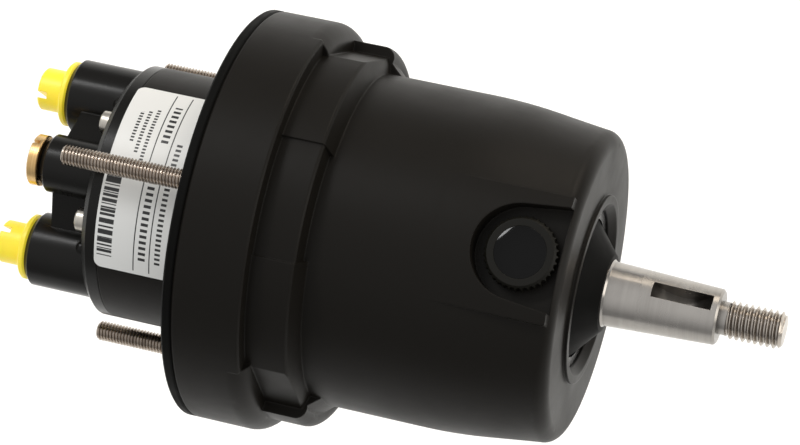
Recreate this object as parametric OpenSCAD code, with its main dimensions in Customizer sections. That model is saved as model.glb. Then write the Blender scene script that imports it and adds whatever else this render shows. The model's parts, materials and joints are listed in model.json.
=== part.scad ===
// Front-mount hydraulic helm pump: an axial piston pump with a lock valve, in millimetres.
// The origin is the centre of the mounting face. The wheel shaft points along -Y, the filler plug faces +Z.

/* [Mounting flange] */
// Diameter of the mounting flange
flange_d = 123; // [118:1:140]
// Depth of the flange drum in front of its gasket
flange_w = 20.6; // [18:0.2:23]
// Radius of the rounded front edge on the flange's flanks
flange_edge_r = 6; // [3:0.5:8]
// Thickness of the gasket behind the flange
gasket_t = 3; // [2:0.5:5]
// Number of mounting studs
stud_count = 3; // [3:1:5]
// Diameter of the circle of mounting studs
stud_pcd = 95; // [94:1:104]
// Diameter of a mounting stud
stud_d = 6; // [5:0.5:7]
// Free length of a stud behind the gasket
stud_free = 40; // [20:1:60]
// Length of a stud's thread in the flange
stud_in = 13; // [8:1:16]

/* [Housing] */
// Distance from the mounting face to the nose face
nose_z = 109.5; // [108:0.5:120]
// Diameter of the drum
drum_d = 99.2; // [97:0.2:104]
// Diameter at the small end of the nose taper
nose_d = 92.8; // [91:0.2:95]
// Length of the nose taper
nose_taper_len = 25; // [18:1:28]
// Radius of the easy curve from the drum into the taper
taper_blend_r = 150; // [80:10:180]
// Radius of the nose's front edge
nose_edge_r = 4.5; // [2:0.5:5]
// Diameter of the oil cavity
cavity_d = 76; // [74:0.5:78]
// Height of the raised lip round the shaft nose
lip_h = 1; // [0.5:0.5:2]
// Outer diameter of the raised lip
lip_d = 56; // [54:0.5:60]

/* [Collar] */
// Radius of the collar's low panel on top
panel_r = 55.9; // [54:0.1:56.5]
// Half angle of the low panel
panel_half = 18; // [14:1:24]
// Radius of the collar's shoulders beside the panel
shoulder_r = 56.6; // [55:0.1:57.2]
// Angle from the top to the parting line
parting_angle = 54; // [40:1:62]
// Angle from the top to the raised lower collar
lower_angle = 80; // [72:1:86]
// Radius of the raised lower collar
lower_r = 57.2; // [56:0.1:58.5]
// Width of the collar in front of the flange
collar_w = 12.6; // [8:0.2:14]
// Run of the sloping front of the shoulders
shoulder_slope = 2; // [1:0.5:4]
// Run of the rounded front of the lower collar
lower_slope = 5.4; // [3:0.2:7]

/* [Filler] */
// Distance from the nose face back to the filler plug's axis
filler_back = 13; // [12.6:0.2:14]
// Height of the pocket floor above the shaft axis
filler_floor = 42; // [40:0.5:43]
// Radius of the round rear end of the pocket
pocket_r = 13.8; // [12.5:0.1:15]
// Flare of the pocket's sides towards the nose
pocket_flare = 7; // [3:1:9]
// Half width of the raised pad round the pocket
pad_half_w = 18.4; // [17:0.2:21]
// Diameter of the filler plug's head
filler_head_d = 21.2; // [18:0.2:21.6]
// Height of the filler plug's head
filler_head_h = 4.6; // [4:0.2:7]
// Thread diameter of the filler plug
filler_thread_d = 14; // [12:1:16]
// Thread length of the filler plug
filler_thread_len = 9; // [6:0.5:10]
// Number of grip ribs round the plug
filler_ribs = 36; // [24:2:44]
// Diameter of the domed badge on the plug
badge_d = 15; // [12:0.5:16]
// Rise of the badge's dome
badge_rise = 1; // [0.6:0.2:2]

/* [Wheel shaft] */
// Shaft diameter in the bearing and seal
shaft_d = 20; // [19.6:0.1:20.4]
// Large end of the wheel taper
taper_d = 19.05; // [18:0.05:19.5]
// Taper on diameter, as length per unit
taper_ratio = 12; // [10:1:16]
// Distance from the nose face to the start of the taper
taper_start = 6.3; // [5:0.1:9]
// Length of the taper
taper_len = 32.7; // [30:0.1:40]
// Diameter of the wheel nut's thread
nut_thread_d = 11.1; // [9:0.1:12]
// Length of the threaded end
nut_thread_len = 18.8; // [12:0.2:24]
// Width of the key seat
keyseat_w = 4.76; // [4:0.01:6]
// Diameter of the key seat's cutter
keyseat_d = 19.05; // [16:0.05:20]
// Depth of the key seat below the taper
keyseat_depth = 6.2; // [4:0.1:7]
// Gap between the key seat and the small end of the taper
keyseat_end = 2; // [1.5:0.1:4]
// Angle of the key seat from the top
keyseat_angle = 19; // [0:1:90]

/* [Shaft bearing and seal] */
// Outer diameter of the bearing
bearing_od = 47; // [45:0.5:48]
// Width of the bearing
bearing_w = 14; // [12:0.5:15]
// Diameter of a bearing ball
bearing_ball_d = 7.938; // [7:0.1:8.2]
// Number of bearing balls
bearing_balls_n = 8; // [6:1:9]
// Width of the shaft seal
seal_w = 7; // [6:0.5:8]
// Thickness of the circlip in the nose
clip_t = 1.75; // [1.5:0.05:2]
// Half angle of the circlip's opening
clip_open = 52; // [20:1:60]
// Diameter of the dust boot's foot
boot_d = 40.5; // [36:0.5:41]

/* [Pump] */
// Number of pistons
piston_count = 7; // [5:1:9]
// Radius of the circle of pistons
piston_circle_r = 25; // [24:0.1:25.6]
// Diameter of a piston
piston_d = 14; // [12:0.2:14.4]
// Tilt of the swash plate
swash_tilt = 20; // [16:0.5:21]
// Thinnest edge of the swash plate
swash_edge = 2.4; // [2:0.1:4]
// Diameter of a thrust ball
thrust_ball_d = 6.35; // [5:0.05:7]
// Number of thrust balls
thrust_balls_n = 16; // [12:1:18]
// Thickness of the thrust race
race_t = 5; // [4:0.2:6]
// Diameter of the rotor
rotor_d = 71; // [68:0.2:72]
// Shaft diameter inside the rotor
rotor_shaft_d = 18; // [16:0.2:19]
// Shaft diameter in the rear bush
tail_d = 14; // [12:0.2:15]
// Thickness of the port plate
plate_t = 5; // [4:0.2:6]
// Side of the square drive key
drive_key = 5; // [4:0.2:6]
// Wire diameter of a piston spring
spring_wire = 1.4; // [1:0.1:1.8]
// Turns of a piston spring
spring_turns = 6; // [5:1:8]

/* [Casing and rear cover] */
// Diameter of the casing behind the flange
casing_d = 76; // [75:0.5:78]
// Distance from the mounting face back to the cover's seam
casing_back = 29; // [28:0.5:36]
// Thickness of the casing's flange inside the housing
casing_flange_t = 6.7; // [6:0.1:9]
// Thickness of the rear cover's plate
cover_t = 5.5; // [4:0.1:7]
// Chamfer of the cover's rim
cover_chamfer = 1.8; // [0.5:0.1:2.5]
// Diameter of the screw circle
screw_pcd = 59; // [58.4:0.1:61]
// Thread diameter of a cover screw
screw_d = 4; // [3:0.5:4]
// Distance from the shaft axis across to a port
port_x = 23.8; // [22.5:0.1:25]
// Height of the ports above the shaft axis
port_y = 7; // [5:0.5:9]
// Diameter of a port boss
port_boss_d = 22; // [18:0.5:23]
// Diameter of a port's bore
port_bore_d = 13.2; // [11:0.2:15]
// Depth of a port's bore
port_bore_depth = 15; // [12:0.5:18]
// Length of the port bosses behind the plate
port_boss_len = 20.8; // [18.5:0.2:28]
// Height of the vent boss above the shaft axis
vent_y = 24; // [23:0.5:26]
// Diameter of the vent boss
vent_boss_d = 17.3; // [15:0.1:18]
// Length of the vent boss behind the plate
vent_boss_len = 17.6; // [14:0.2:24]
// Diameter of the vent plug's head
vent_head_d = 15.2; // [12:0.2:16]
// Thickness of the webs between the bosses
web_t = 8; // [5:0.5:10]
// How far the webs stop short of the vent boss's end
web_short = 3; // [2:0.5:6]
// Diameter of a port cap's rim
cap_rim_d = 19.6; // [17:0.2:21]
// Length of a port cap's grip
cap_grip = 8; // [6:0.2:10]

/* [Lock valve] */
// Depth of the lock valve's chamber in the casing
valve_depth = 23; // [22:0.5:24]
// Diameter of the lock valve block
valve_d = 48.8; // [48:0.2:49]
// Bore of the lock valve
valve_bore_d = 8; // [7.2:0.1:9]
// Half length of the spool's piston
spool_half = 6; // [5:0.1:7]
// Travel of the spool to each side
spool_travel = 1.2; // [0.8:0.1:1.4]
// Lift of a check poppet
poppet_lift = 1.5; // [1:0.1:1.8]
// Thickness of a check seat
seat_t = 2; // [1.5:0.1:2.5]

/* [Fits] */
// Radial clearance of a running fit
run_fit = 0.03; // [0.02:0.01:0.06]
// Clearance of a piece that sits in another
seat_fit = 0.02; // [0.01:0.01:0.05]
// Free gap between pieces that pass each other
free_gap = 0.3; // [0.2:0.05:0.5]
// Section diameter of the O-rings
oring_d = 2; // [1.6:0.1:2.2]

/* [Hidden] */

$fn = 96;
// Facets of small round features
fine_fn = 48;
// Overshoot of a cut past the face it opens
cut = 1;
// Right angle, half turn and full turn
quarter = 90;
half_turn = 180;
full_turn = 360;

// Stations of the housing, forward of the mounting face
z_flange_back = gasket_t;
z_flange_front = gasket_t + flange_w;
flank_rise = 2;
z_flank_front = z_flange_front + flank_rise;
z_collar_back = z_flange_back + flange_w / 2;
z_collar_front = z_flange_front + collar_w;
z_taper_top = nose_z - nose_edge_r - nose_taper_len;
taper_turn = atan((drum_d - nose_d) / 2 / nose_taper_len);
z_taper_blend = z_taper_top - taper_blend_r * tan(taper_turn / 2);
pocket_rim = 1.8;
z_pocket_front = nose_z - pocket_rim;
z_lip = nose_z + lip_h;
clip_inset = 1.6;
clip_grip = 1.2;
clip_ledge = 0.5;
lip_bevel = lip_h + clip_inset - clip_ledge;
z_clip_front = nose_z - clip_inset;
z_seal_front = z_clip_front - clip_t;
z_seal_back = z_seal_front - seal_w;
z_bearing_back = z_seal_back - bearing_w;
z_bearing = z_bearing_back + bearing_w / 2;
bearing_shoulder = 2;
z_wall = z_bearing_back - bearing_shoulder;
z_filler = nose_z - filler_back;

// Radii of the housing and what sits in it
edge_bevel = 0.6;
seam_bevel = 0.2;
flange_r = flange_d / 2;
drum_r = drum_d / 2;
nose_r = nose_d / 2;
cavity_r = cavity_d / 2;
bore_r = bearing_od / 2;
stud_r = stud_d / 2;
stud_circle_r = stud_pcd / 2;
// A stud's screwed-in end is drawn at the middle of its thread
stud_thread_half = 0.325;
stud_in_r = stud_r - stud_thread_half;
casing_r = casing_d / 2;
shaft_r = shaft_d / 2;
oring_r = oring_d / 2;

// The falling facets of the collar end below the raised lower part
facet_drop = 3;
facet_r = lower_r - facet_drop;
collar_root_r = drum_r - 2 * cut;
// Lap of neighbouring stretches of the collar, in degrees
sector_lap = 1;

// The filler's thread, its seal's seat and the oil way to the cavity
filler_thread_r = filler_thread_d / 2;
filler_head_gap = 0.6;
filler_seat_depth = oring_d - filler_head_gap;
filler_seat_r = filler_thread_r + oring_d + free_gap;
filler_head_y = filler_floor + filler_head_gap;
filler_top_y = filler_head_y + filler_head_h;
badge_seat = 0.8;
oil_way_r = 3;
oil_way_y = filler_floor - filler_thread_len;

// The casing's seat at the back of the housing
casing_clip_t = 2.5;
casing_clip_inset = 0.8;
casing_clip_w = 3;
casing_clip_grip = 1.5;
casing_step = 3;
casing_rim = 1.7;
casing_seat_r = casing_r + casing_step;
casing_rim_r = casing_r - casing_rim;
z_casing_clip = z_flange_back + casing_clip_inset;
z_casing_flange = z_casing_clip + casing_clip_t;
z_casing_front = z_casing_flange + casing_flange_t;
z_casing_oring = (z_casing_flange + z_casing_front) / 2;
oring_groove_half = oring_r * 1.2;
rotor_recess = 4;
plate_recess = plate_t + rotor_recess;
z_plate = z_casing_front - plate_recess;
z_valve_front = -casing_back + valve_depth;

// The shaft's tail runs in a bush in a blind hole
feed_slot_w = 4.4;
feed_slot_depth = 3;
bush_floor = 1.2;
bush_wall = 2.5;
bush_r = tail_d / 2 + bush_wall;
z_bush = z_valve_front + feed_slot_depth + bush_floor;

// The swash plate and its thrust bearing, measured from the centre of the tilted face
swash_r = cavity_r - free_gap;
swash_bore_r = 17;
z_swash = z_wall - swash_edge - swash_r * tan(swash_tilt);
swash_dowel_r = 2.5;
swash_dowel_len = 11;
swash_dowel_inset = 6;
swash_dowel_y = swash_dowel_inset - cavity_r;
thrust_r = thrust_ball_d / 2;
thrust_gap = thrust_r * 0.7;
thrust_depth = 2 * thrust_gap + race_t;
race_half_w = 6.2;
groove_fit = 0.06;

// The rotor and its pistons, pressed in as far as the low side of the thrust race
piston_r = piston_d / 2;
rotor_r = rotor_d / 2;
z_race = z_swash - thrust_depth / cos(swash_tilt);
z_piston_ball = z_race - piston_circle_r * tan(swash_tilt) - (piston_r + free_gap) / cos(swash_tilt);
piston_proud = 0.5;
z_rotor_front = z_piston_ball - piston_proud;
z_rotor_back = z_plate + plate_t + run_fit;
rotor_len = z_rotor_front - z_rotor_back;
rotor_floor = 4;
rotor_port_r = 3;
z_rotor_floor = z_rotor_back + rotor_floor;
piston_rest = 1.5;
piston_wall = 2;
piston_crown = 3;
z_piston_back = z_rotor_floor + piston_rest;
z_piston_crown = z_piston_ball - piston_crown;
spring_r = piston_r - piston_wall - free_gap - spring_wire / 2;
kidney_w = 7.4;
kidney_in = 0.7;
kidney_r = piston_circle_r - kidney_in;
kidney_half = 58;

// The shaft's stations
z_tail = z_bush + free_gap;
z_taper = nose_z + taper_start;
z_taper_end = z_taper + taper_len;
z_shaft_end = z_taper_end + nut_thread_len;
taper_r = taper_d / 2;
taper_end_r = taper_r - taper_len / taper_ratio / 2;
nut_thread_r = nut_thread_d / 2;
nut_neck = 2.2;
nut_neck_in = 0.7;
nut_bevel = 1.2;
shaft_collar_step = 2.2;
shaft_collar_len = 4;
keyseat_r = keyseat_d / 2;
keyseat_mid_r = taper_r - (taper_len - keyseat_end - keyseat_r) / taper_ratio / 2;
keyseat_axis_r = keyseat_mid_r - keyseat_depth + keyseat_r;
keyseat_half = sqrt(pow(keyseat_r, 2) - pow(keyseat_axis_r - keyseat_mid_r, 2));
z_keyseat = z_taper_end - keyseat_end - keyseat_half;

// The shaft bearing
ball_r = bearing_ball_d / 2;
ball_circle_r = (bore_r + shaft_r) / 2;
race_land = 2.9;
race_gap = ball_circle_r - shaft_r - race_land;
race_rest = 1;

// The rear cover's stations, behind the mounting face
z_seam = -casing_back;
z_cover = z_seam - cover_t;
z_port = z_cover - port_boss_len;
z_vent = z_cover - vent_boss_len;
z_web = z_vent + web_short;
z_port_floor = z_port + port_bore_depth;
boss_bevel = 1.6;
port_r = port_bore_d / 2;
port_boss_r = port_boss_d / 2;
vent_stem_r = 5;
vent_stem_len = 9;
vent_head_h = 3.2;
vent_ring_t = 1;
z_vent_floor = z_vent + vent_stem_len + free_gap;
screw_angles = [30, -30, 110, -110, 180];
screw_circle_r = screw_pcd / 2;
screw_r = screw_d / 2;
screw_head_r = screw_d * 0.875;
screw_head_h = screw_d;
screw_len = 14;
screw_gap = 0.2;
hex_socket = screw_d * 0.75;

// The lock valve's places along its bore
valve_r = valve_d / 2;
valve_bore_r = valve_bore_d / 2;
z_valve = (z_seam + z_valve_front) / 2;
stop_gap = 0.1;
seat_gap = spool_travel + 1.3;
seat_x = spool_half + seat_gap;
seat_lap = 0.5;
seat_hole_r = valve_bore_r * 0.58;
poppet_tip_r = seat_hole_r - 0.4;
poppet_x = seat_x + seat_t - seat_lap;
poppet_cone = 2;
poppet_body = 1.2;
poppet_back_x = poppet_x + poppet_cone + poppet_body;
spool_nose = poppet_x - spool_half - spool_travel - stop_gap;
valve_plug_t = 2.6;
valve_plug_x = sqrt(pow(valve_r, 2) - pow(port_y + valve_bore_r, 2)) - valve_plug_t;
poppet_stem = valve_plug_x - poppet_back_x - poppet_lift - stop_gap;
check_wire = 0.8;
check_turns = 3;
check_coil_r = valve_bore_r - 1.3;
passage_r = 1.6;
feed_r = 1;
feed_x = spool_half + seat_gap / 2;
outlet_x = valve_plug_x - passage_r;
port_hole_inset = 0.4;
port_hole_x = port_x - port_r + passage_r + port_hole_inset;
kidney_hole_r = 2;
kidney_hole_x = sqrt(pow(valve_r - kidney_hole_r - free_gap, 2) - pow(port_y, 2));
vent_way_y = valve_r - 3 * passage_r;
vent_way_depth = 2;

// The cover's seal lies round the lock valve's chamber
cover_ring_r = 0.75;
cover_ring_in = 0.8;
cover_ring_circle_r = valve_r + cover_ring_in + cover_ring_r;

// Moves a piece drawn along +Z with its top at +Y into the frame of the pump
module in_frame() {
    rotate([quarter, 0, 0])
        children();
}

// Turns a flat outline of the top view, in x and station, up from height y
module from_top(y) {
    translate([0, y, 0])
        rotate([-quarter, 0, 0])
            children();
}

// Stands a piece up on the filler's axis, from height y
module from_filler_axis(y) {
    translate([0, y, z_filler])
        rotate([-quarter, 0, 0])
            children();
}

// A ring or disc between two stations
module ring(r_out, r_in, z0, z1) {
    rotate_extrude()
        translate([r_in, z0])
            square([r_out - r_in, z1 - z0]);
}

// A round bar between two stations, with bevelled ends
module bevelled_bar(r, z0, z1, bevel) {
    rotate_extrude()
        polygon([[0, z0], [r - bevel, z0], [r, z0 + bevel], [r, z1 - bevel], [r - bevel, z1], [0, z1]]);
}

// A hole along the shaft between two stations
module bore(r, z0, z1) {
    translate([0, 0, z0])
        cylinder(r = r, h = z1 - z0);
}

// Part of a ring of a given outline, from one angle to another, clockwise from the top
module sweep_from_top(a0, a1) {
    rotate([0, 0, quarter - a1])
        rotate_extrude(angle = a1 - a0)
            children();
}

// The same on both sides of the pump
module both_sides() {
    children();
    mirror([1, 0, 0])
        children();
}

// A torus, for O-rings and ball grooves
module torus(r, section_r) {
    rotate_extrude()
        translate([r, 0])
            circle(r = section_r, $fn = fine_fn);
}

// A circle of copies about the shaft
module around(count, r) {
    for (i = [0:count - 1])
        rotate([0, 0, i * full_turn / count])
            translate([0, r, 0])
                children();
}

// Points of a round wire section, set square to the coil's radius
function coil_ring(r, wire_r, z, turn, sides) =
    [for (k = [0:sides - 1])
        let (t = full_turn * k / sides)
            [(r + wire_r * cos(t)) * cos(turn), (r + wire_r * cos(t)) * sin(turn), z + wire_r * sin(t)]];

// A closed coil spring that stands on z = 0, its wire in flats
module coil(r, wire_d, height, turns, steps = 10, sides = 6) {
    rings = turns * steps;
    rise = height - wire_d;
    points = [for (i = [0:rings])
        each coil_ring(r, wire_d / 2, wire_d / 2 + rise * i / rings, full_turn * i / steps, sides)];
    sides_faces = [for (i = [0:rings - 1], k = [0:sides - 1])
        let (n = (k + 1) % sides)
            [i * sides + k, (i + 1) * sides + k, (i + 1) * sides + n, i * sides + n]];
    first = [for (k = [0:sides - 1]) k];
    last = [for (k = [sides - 1:-1:0]) rings * sides + k];
    polyhedron(points, concat([first], sides_faces, [last]));
}

// Outline of the drum and its tapered nose, with a rounded front edge
module drum_outline() {
    z_edge = nose_z - nose_edge_r;
    steps = 6;
    blend = [for (i = [0 : steps]) taper_blend_point(taper_turn * i / steps)];
    polygon(concat([[0, z_flange_back], [drum_r, z_flange_back]], blend, [[nose_r, z_edge], [0, z_edge]]));
    translate([0, z_edge - cut])
        square([nose_r - nose_edge_r, nose_edge_r + cut]);
    translate([nose_r - nose_edge_r, z_edge])
        circle(r = nose_edge_r, $fn = fine_fn);
}

// Point on the curve between drum and taper, by how far it has turned
function taper_blend_point(turn) =
    [drum_r - taper_blend_r * (1 - cos(turn)), z_taper_blend + taper_blend_r * sin(turn)];

// Station where the flange's rounded front edge starts
function z_flange_round() = z_flank_front - flange_edge_r;

// Outline of the flange's flanks, with a rounded front edge
module flank_outline() {
    z_round = z_flange_round();
    polygon([[drum_r - cut, z_flange_back], [flange_r - edge_bevel, z_flange_back],
             [flange_r, z_flange_back + edge_bevel], [flange_r, z_round],
             [flange_r - flange_edge_r, z_round], [flange_r - flange_edge_r, z_flank_front],
             [drum_r - cut, z_flank_front]]);
    translate([flange_r - flange_edge_r, z_round])
        circle(r = flange_edge_r, $fn = fine_fn);
}

// Outline of the flange's square-edged top stretch, above the start of the rounding
module flange_top_outline() {
    z_base = z_flange_round() - cut;
    polygon([[drum_r - cut, z_base], [flange_r, z_base], [flange_r, z_flange_front - edge_bevel],
             [flange_r - edge_bevel, z_flange_front], [drum_r - cut, z_flange_front]]);
}

// Wedge between the parting lines, from the start of the rounding forward
module flange_top_wedge() {
    reach = 3 * flange_r;
    translate([0, 0, z_flange_round() - cut])
        linear_extrude(flange_edge_r + 2 * cut)
            polygon([[0, 0], reach * [-sin(parting_angle), cos(parting_angle)],
                     reach * [sin(parting_angle), cos(parting_angle)]]);
}

// The flange: square-edged over the top, round-edged down its flanks
module flange() {
    difference() {
        rotate_extrude()
            flank_outline();
        flange_top_wedge();
    }
    intersection() {
        rotate_extrude()
            flange_top_outline();
        flange_top_wedge();
    }
}

// Outline of a collar stretch: flat to its front edge, then sloping into the drum
module collar_outline(r, slope) {
    edge_r = r - edge_bevel;
    z_foot = z_collar_front + slope * (edge_r - collar_root_r) / (edge_r - drum_r);
    polygon([[collar_root_r, z_collar_back], [r, z_collar_back], [r, z_collar_front - edge_bevel],
             [edge_r, z_collar_front], [collar_root_r, z_foot]]);
}

// The raised lower collar has a rounded front
module lower_collar_outline() {
    round_r = lower_slope * 0.6;
    centre_r = lower_r - round_r;
    z_round = z_collar_front - round_r / 3;
    z_brow = z_round + round_r / 2;
    brow_run = z_collar_front + lower_slope - z_brow;
    z_foot = z_brow + brow_run * (centre_r - collar_root_r) / (centre_r - drum_r);
    translate([centre_r, z_round])
        circle(r = round_r, $fn = fine_fn);
    polygon([[collar_root_r, z_collar_back], [lower_r, z_collar_back], [lower_r, z_round], [centre_r, z_brow],
             [collar_root_r, z_foot]]);
}

// Cuts a falling flat on a shoulder, from below the parting line to the raised lower collar
module collar_facet() {
    reach = flange_r;
    top = shoulder_r * [sin(parting_angle + sector_lap), cos(parting_angle + sector_lap)];
    foot = facet_r * [sin(lower_angle + sector_lap), cos(lower_angle + sector_lap)];
    along = (foot - top) / norm(foot - top);
    translate([0, 0, z_collar_back - cut])
        linear_extrude(flange_r)
            polygon([top - cut * along, foot + cut * along, foot + [reach, 0],
                     top + [reach, 0] - cut * along]);
}

// The collar: low panel, shoulders, falling facets and raised lower part
module collar() {
    sweep_from_top(-panel_half - sector_lap, panel_half + sector_lap)
        collar_outline(panel_r, edge_bevel);
    both_sides()
        difference() {
            sweep_from_top(panel_half, lower_angle + sector_lap)
                collar_outline(shoulder_r, shoulder_slope);
            collar_facet();
        }
    sweep_from_top(lower_angle, full_turn - lower_angle)
        lower_collar_outline();
}

// The pad round the filler pocket carries the drum's curve forward over the taper
module filler_pad() {
    overlap = 5;
    proud = 0.02;
    intersection() {
        bore(drum_r - proud, z_taper_blend - overlap, z_pocket_front);
        translate([-pad_half_w, filler_floor - overlap, z_taper_blend - overlap - cut])
            cube([2 * pad_half_w, drum_r, nose_z]);
    }
}

// The filler pocket: round behind, flaring to the nose's rim, with a flat floor
module filler_pocket() {
    side_x = pocket_r * cos(pocket_flare);
    side_z = z_filler - pocket_r * sin(pocket_flare);
    front_x = side_x + (z_pocket_front - side_z) * tan(pocket_flare);
    from_top(filler_floor)
        difference() {
            linear_extrude(drum_r) {
                translate([0, -z_filler])
                    circle(r = pocket_r);
                polygon([[side_x, -side_z], [front_x, -z_pocket_front - cut],
                         [-front_x, -z_pocket_front - cut], [-side_x, -side_z]]);
            }
            translate([-drum_r, -z_pocket_front - drum_r, -cut])
                cube([2 * drum_r, drum_r, drum_r + 2 * cut]);
        }
}

// Cast drum with flange, stepped collar, filler pocket and shaft nose
module front_housing() {
    color([0.1, 0.1, 0.1])
        in_frame()
            difference() {
                union() {
                    rotate_extrude()
                        drum_outline();
                    flange();
                    collar();
                    filler_pad();
                    ring(lip_d / 2, bore_r - cut, nose_z - cut, z_lip);
                }
                bore(casing_seat_r, z_flange_back - cut, z_casing_front);
                bore(casing_seat_r + casing_clip_grip, z_casing_clip, z_casing_flange);
                bore(cavity_r, z_casing_front - cut, z_wall);
                bore(bore_r - race_land, z_wall - cut, z_bearing_back + cut);
                bore(bore_r, z_bearing_back, z_lip + cut);
                bore(bore_r + clip_grip, z_seal_front, z_clip_front);
                translate([0, 0, z_lip - lip_bevel])
                    cylinder(r1 = bore_r, r2 = bore_r + lip_bevel + seat_fit, h = lip_bevel + seat_fit);
                around(stud_count, stud_circle_r)
                    bore(stud_in_r + seat_fit, z_flange_back - cut, z_flange_back + stud_in + free_gap);
                translate([0, swash_dowel_y, 0])
                    bore(swash_dowel_r + seat_fit, z_wall - cut, z_wall + swash_dowel_len / 2);
                filler_pocket();
                from_filler_axis(filler_floor - filler_seat_depth)
                    cylinder(r = filler_seat_r, h = drum_r);
                from_filler_axis(oil_way_y - oil_way_r / 2)
                    cylinder(r = filler_thread_r + run_fit, h = drum_r);
                translate([0, oil_way_y, 0])
                    bore(oil_way_r, z_wall - cut, z_filler);
            }
}

// Sealing ring between the flange and the dashboard
module mounting_gasket() {
    color([0.08, 0.08, 0.08])
        in_frame()
            difference() {
                rotate_extrude()
                    polygon([[casing_r + free_gap, 0], [flange_r - edge_bevel, 0], [flange_r, edge_bevel],
                             [flange_r, gasket_t - edge_bevel], [flange_r - edge_bevel, gasket_t],
                             [casing_r + free_gap, gasket_t]]);
                around(stud_count, stud_circle_r)
                    bore(stud_r + seat_fit, -cut, gasket_t + cut);
            }
}

// Studs screwed into the flange, one at the top, full size from the gasket back
module mounting_studs() {
    stud_bevel = 0.8;
    z_stud_end = z_flange_back + stud_in;
    color([0.6, 0.57, 0.53])
        in_frame()
            around(stud_count, stud_circle_r)
                rotate_extrude()
                    polygon([[0, -stud_free], [stud_r - stud_bevel, -stud_free],
                             [stud_r, stud_bevel - stud_free], [stud_r, 0], [stud_in_r, 0],
                             [stud_in_r, z_stud_end - stud_bevel], [stud_in_r - stud_bevel, z_stud_end],
                             [0, z_stud_end]]);
}

// Rear drum: carries the port plate in front and the lock valve behind
module pump_casing() {
    color([0.1, 0.1, 0.1])
        in_frame()
            difference() {
                rotate_extrude()
                    polygon([[0, z_seam], [casing_r - seam_bevel, z_seam], [casing_r, z_seam + seam_bevel],
                             [casing_r, z_casing_flange], [casing_seat_r - seat_fit, z_casing_flange],
                             [casing_seat_r - seat_fit, z_casing_front], [0, z_casing_front]]);
                ring(casing_seat_r + cut, casing_seat_r - oring_d,
                     z_casing_oring - oring_groove_half, z_casing_oring + oring_groove_half);
                bore(casing_rim_r, z_plate, z_casing_front + cut);
                bore(valve_r + seat_fit, z_seam - cut, z_valve_front);
                bore(bush_r + seat_fit, z_bush, z_plate + cut);
                ring(cover_ring_circle_r + cover_ring_r, cover_ring_circle_r - cover_ring_r,
                     z_seam - cut, z_seam + 2 * cover_ring_r);
                at_screws()
                    bore(screw_r + seat_fit, z_seam - cut, z_cover + screw_len + cut);
                both_sides() {
                    translate([kidney_hole_x, port_y, 0])
                        bore(kidney_hole_r, z_valve_front - cut, z_plate + cut);
                    translate([feed_x - feed_r, port_y - feed_slot_w / 2, z_valve_front - cut])
                        cube([kidney_hole_x - feed_x + feed_r, feed_slot_w, feed_slot_depth + cut]);
                }
                translate([0, vent_way_y, 0])
                    bore(passage_r, z_valve_front - cut, z_plate);
                translate([-passage_r, vent_way_y, z_plate - vent_way_depth])
                    cube([2 * passage_r, casing_rim_r - vent_way_y - free_gap, vent_way_depth + cut]);
            }
}

// Ring that seals the casing in the housing
module casing_oring() {
    color([0.05, 0.05, 0.05])
        in_frame()
            translate([0, 0, z_casing_oring])
                torus(casing_seat_r - oring_r - seat_fit, oring_r - seat_fit);
}

// Spring ring that holds the casing in the housing
module casing_circlip() {
    gap_half = 8;
    color([0.3, 0.3, 0.32])
        in_frame()
            sweep_from_top(half_turn + gap_half, half_turn + full_turn - gap_half)
                translate([casing_seat_r + casing_clip_grip - casing_clip_w, z_casing_clip + seat_fit])
                    square([casing_clip_w - seat_fit, casing_clip_t - 2 * seat_fit]);
}

// Copies at the cover's screws
module at_screws() {
    for (a = screw_angles)
        rotate([0, 0, -a])
            translate([0, screw_circle_r, 0])
                children();
}

// A boss behind the cover's plate, bevelled at its end
module boss(x, y, r, z_end) {
    translate([x, y, 0])
        rotate_extrude()
            polygon([[0, z_cover + cut], [r, z_cover + cut], [r, z_end + boss_bevel], [r - boss_bevel, z_end],
                     [0, z_end]]);
}

// A web from the vent boss to a port boss
module boss_web() {
    run = sqrt(pow(port_x, 2) + pow(vent_y - port_y, 2));
    slope = atan2(port_y - vent_y, port_x);
    translate([0, vent_y, z_web])
        rotate([0, 0, slope])
            translate([0, -web_t / 2, 0])
                cube([run, web_t, z_cover - z_web + cut]);
}

// A half-round rib along the root of a port boss
module boss_rib() {
    rib_r = 2.2;
    lean = 10;
    translate([port_x, port_y, 0])
        rotate([0, 0, lean])
            translate([0, port_boss_r - rib_r / 2, z_cover - screw_head_h])
                rotate_extrude($fn = fine_fn)
                    polygon([[0, -rib_r], [rib_r, 0], [rib_r, screw_head_h + cut], [0, screw_head_h + cut]]);
}

// End cover with the hose ports and the vent
module rear_cover() {
    color([0.06, 0.06, 0.06])
        in_frame()
            difference() {
                union() {
                    rotate_extrude()
                        polygon([[0, z_seam], [casing_r - seam_bevel, z_seam],
                                 [casing_r, z_seam - seam_bevel], [casing_r, z_cover + cover_chamfer],
                                 [casing_r - cover_chamfer, z_cover], [0, z_cover]]);
                    both_sides() {
                        boss(port_x, port_y, port_boss_r, z_port);
                        boss_web();
                        boss_rib();
                    }
                    boss(0, vent_y, vent_boss_d / 2, z_vent);
                }
                both_sides() {
                    translate([port_x, port_y, 0])
                        bore(port_r, z_port - cut, z_port_floor);
                    translate([port_hole_x, port_y, 0])
                        bore(passage_r, z_port_floor - cut, z_seam + cut);
                }
                translate([0, vent_y, 0])
                    bore(vent_stem_r + seat_fit, z_vent - cut, z_vent_floor);
                translate([0, vent_way_y, 0])
                    bore(passage_r, z_vent_floor - cut, z_seam + cut);
                at_screws()
                    bore(screw_r + screw_gap, z_cover - cut, z_seam + cut);
            }
}

// Ring that seals the cover on the casing
module cover_oring() {
    color([0.05, 0.05, 0.05])
        in_frame()
            translate([0, 0, z_seam + cover_ring_r])
                torus(cover_ring_circle_r, cover_ring_r - seat_fit);
}

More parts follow.
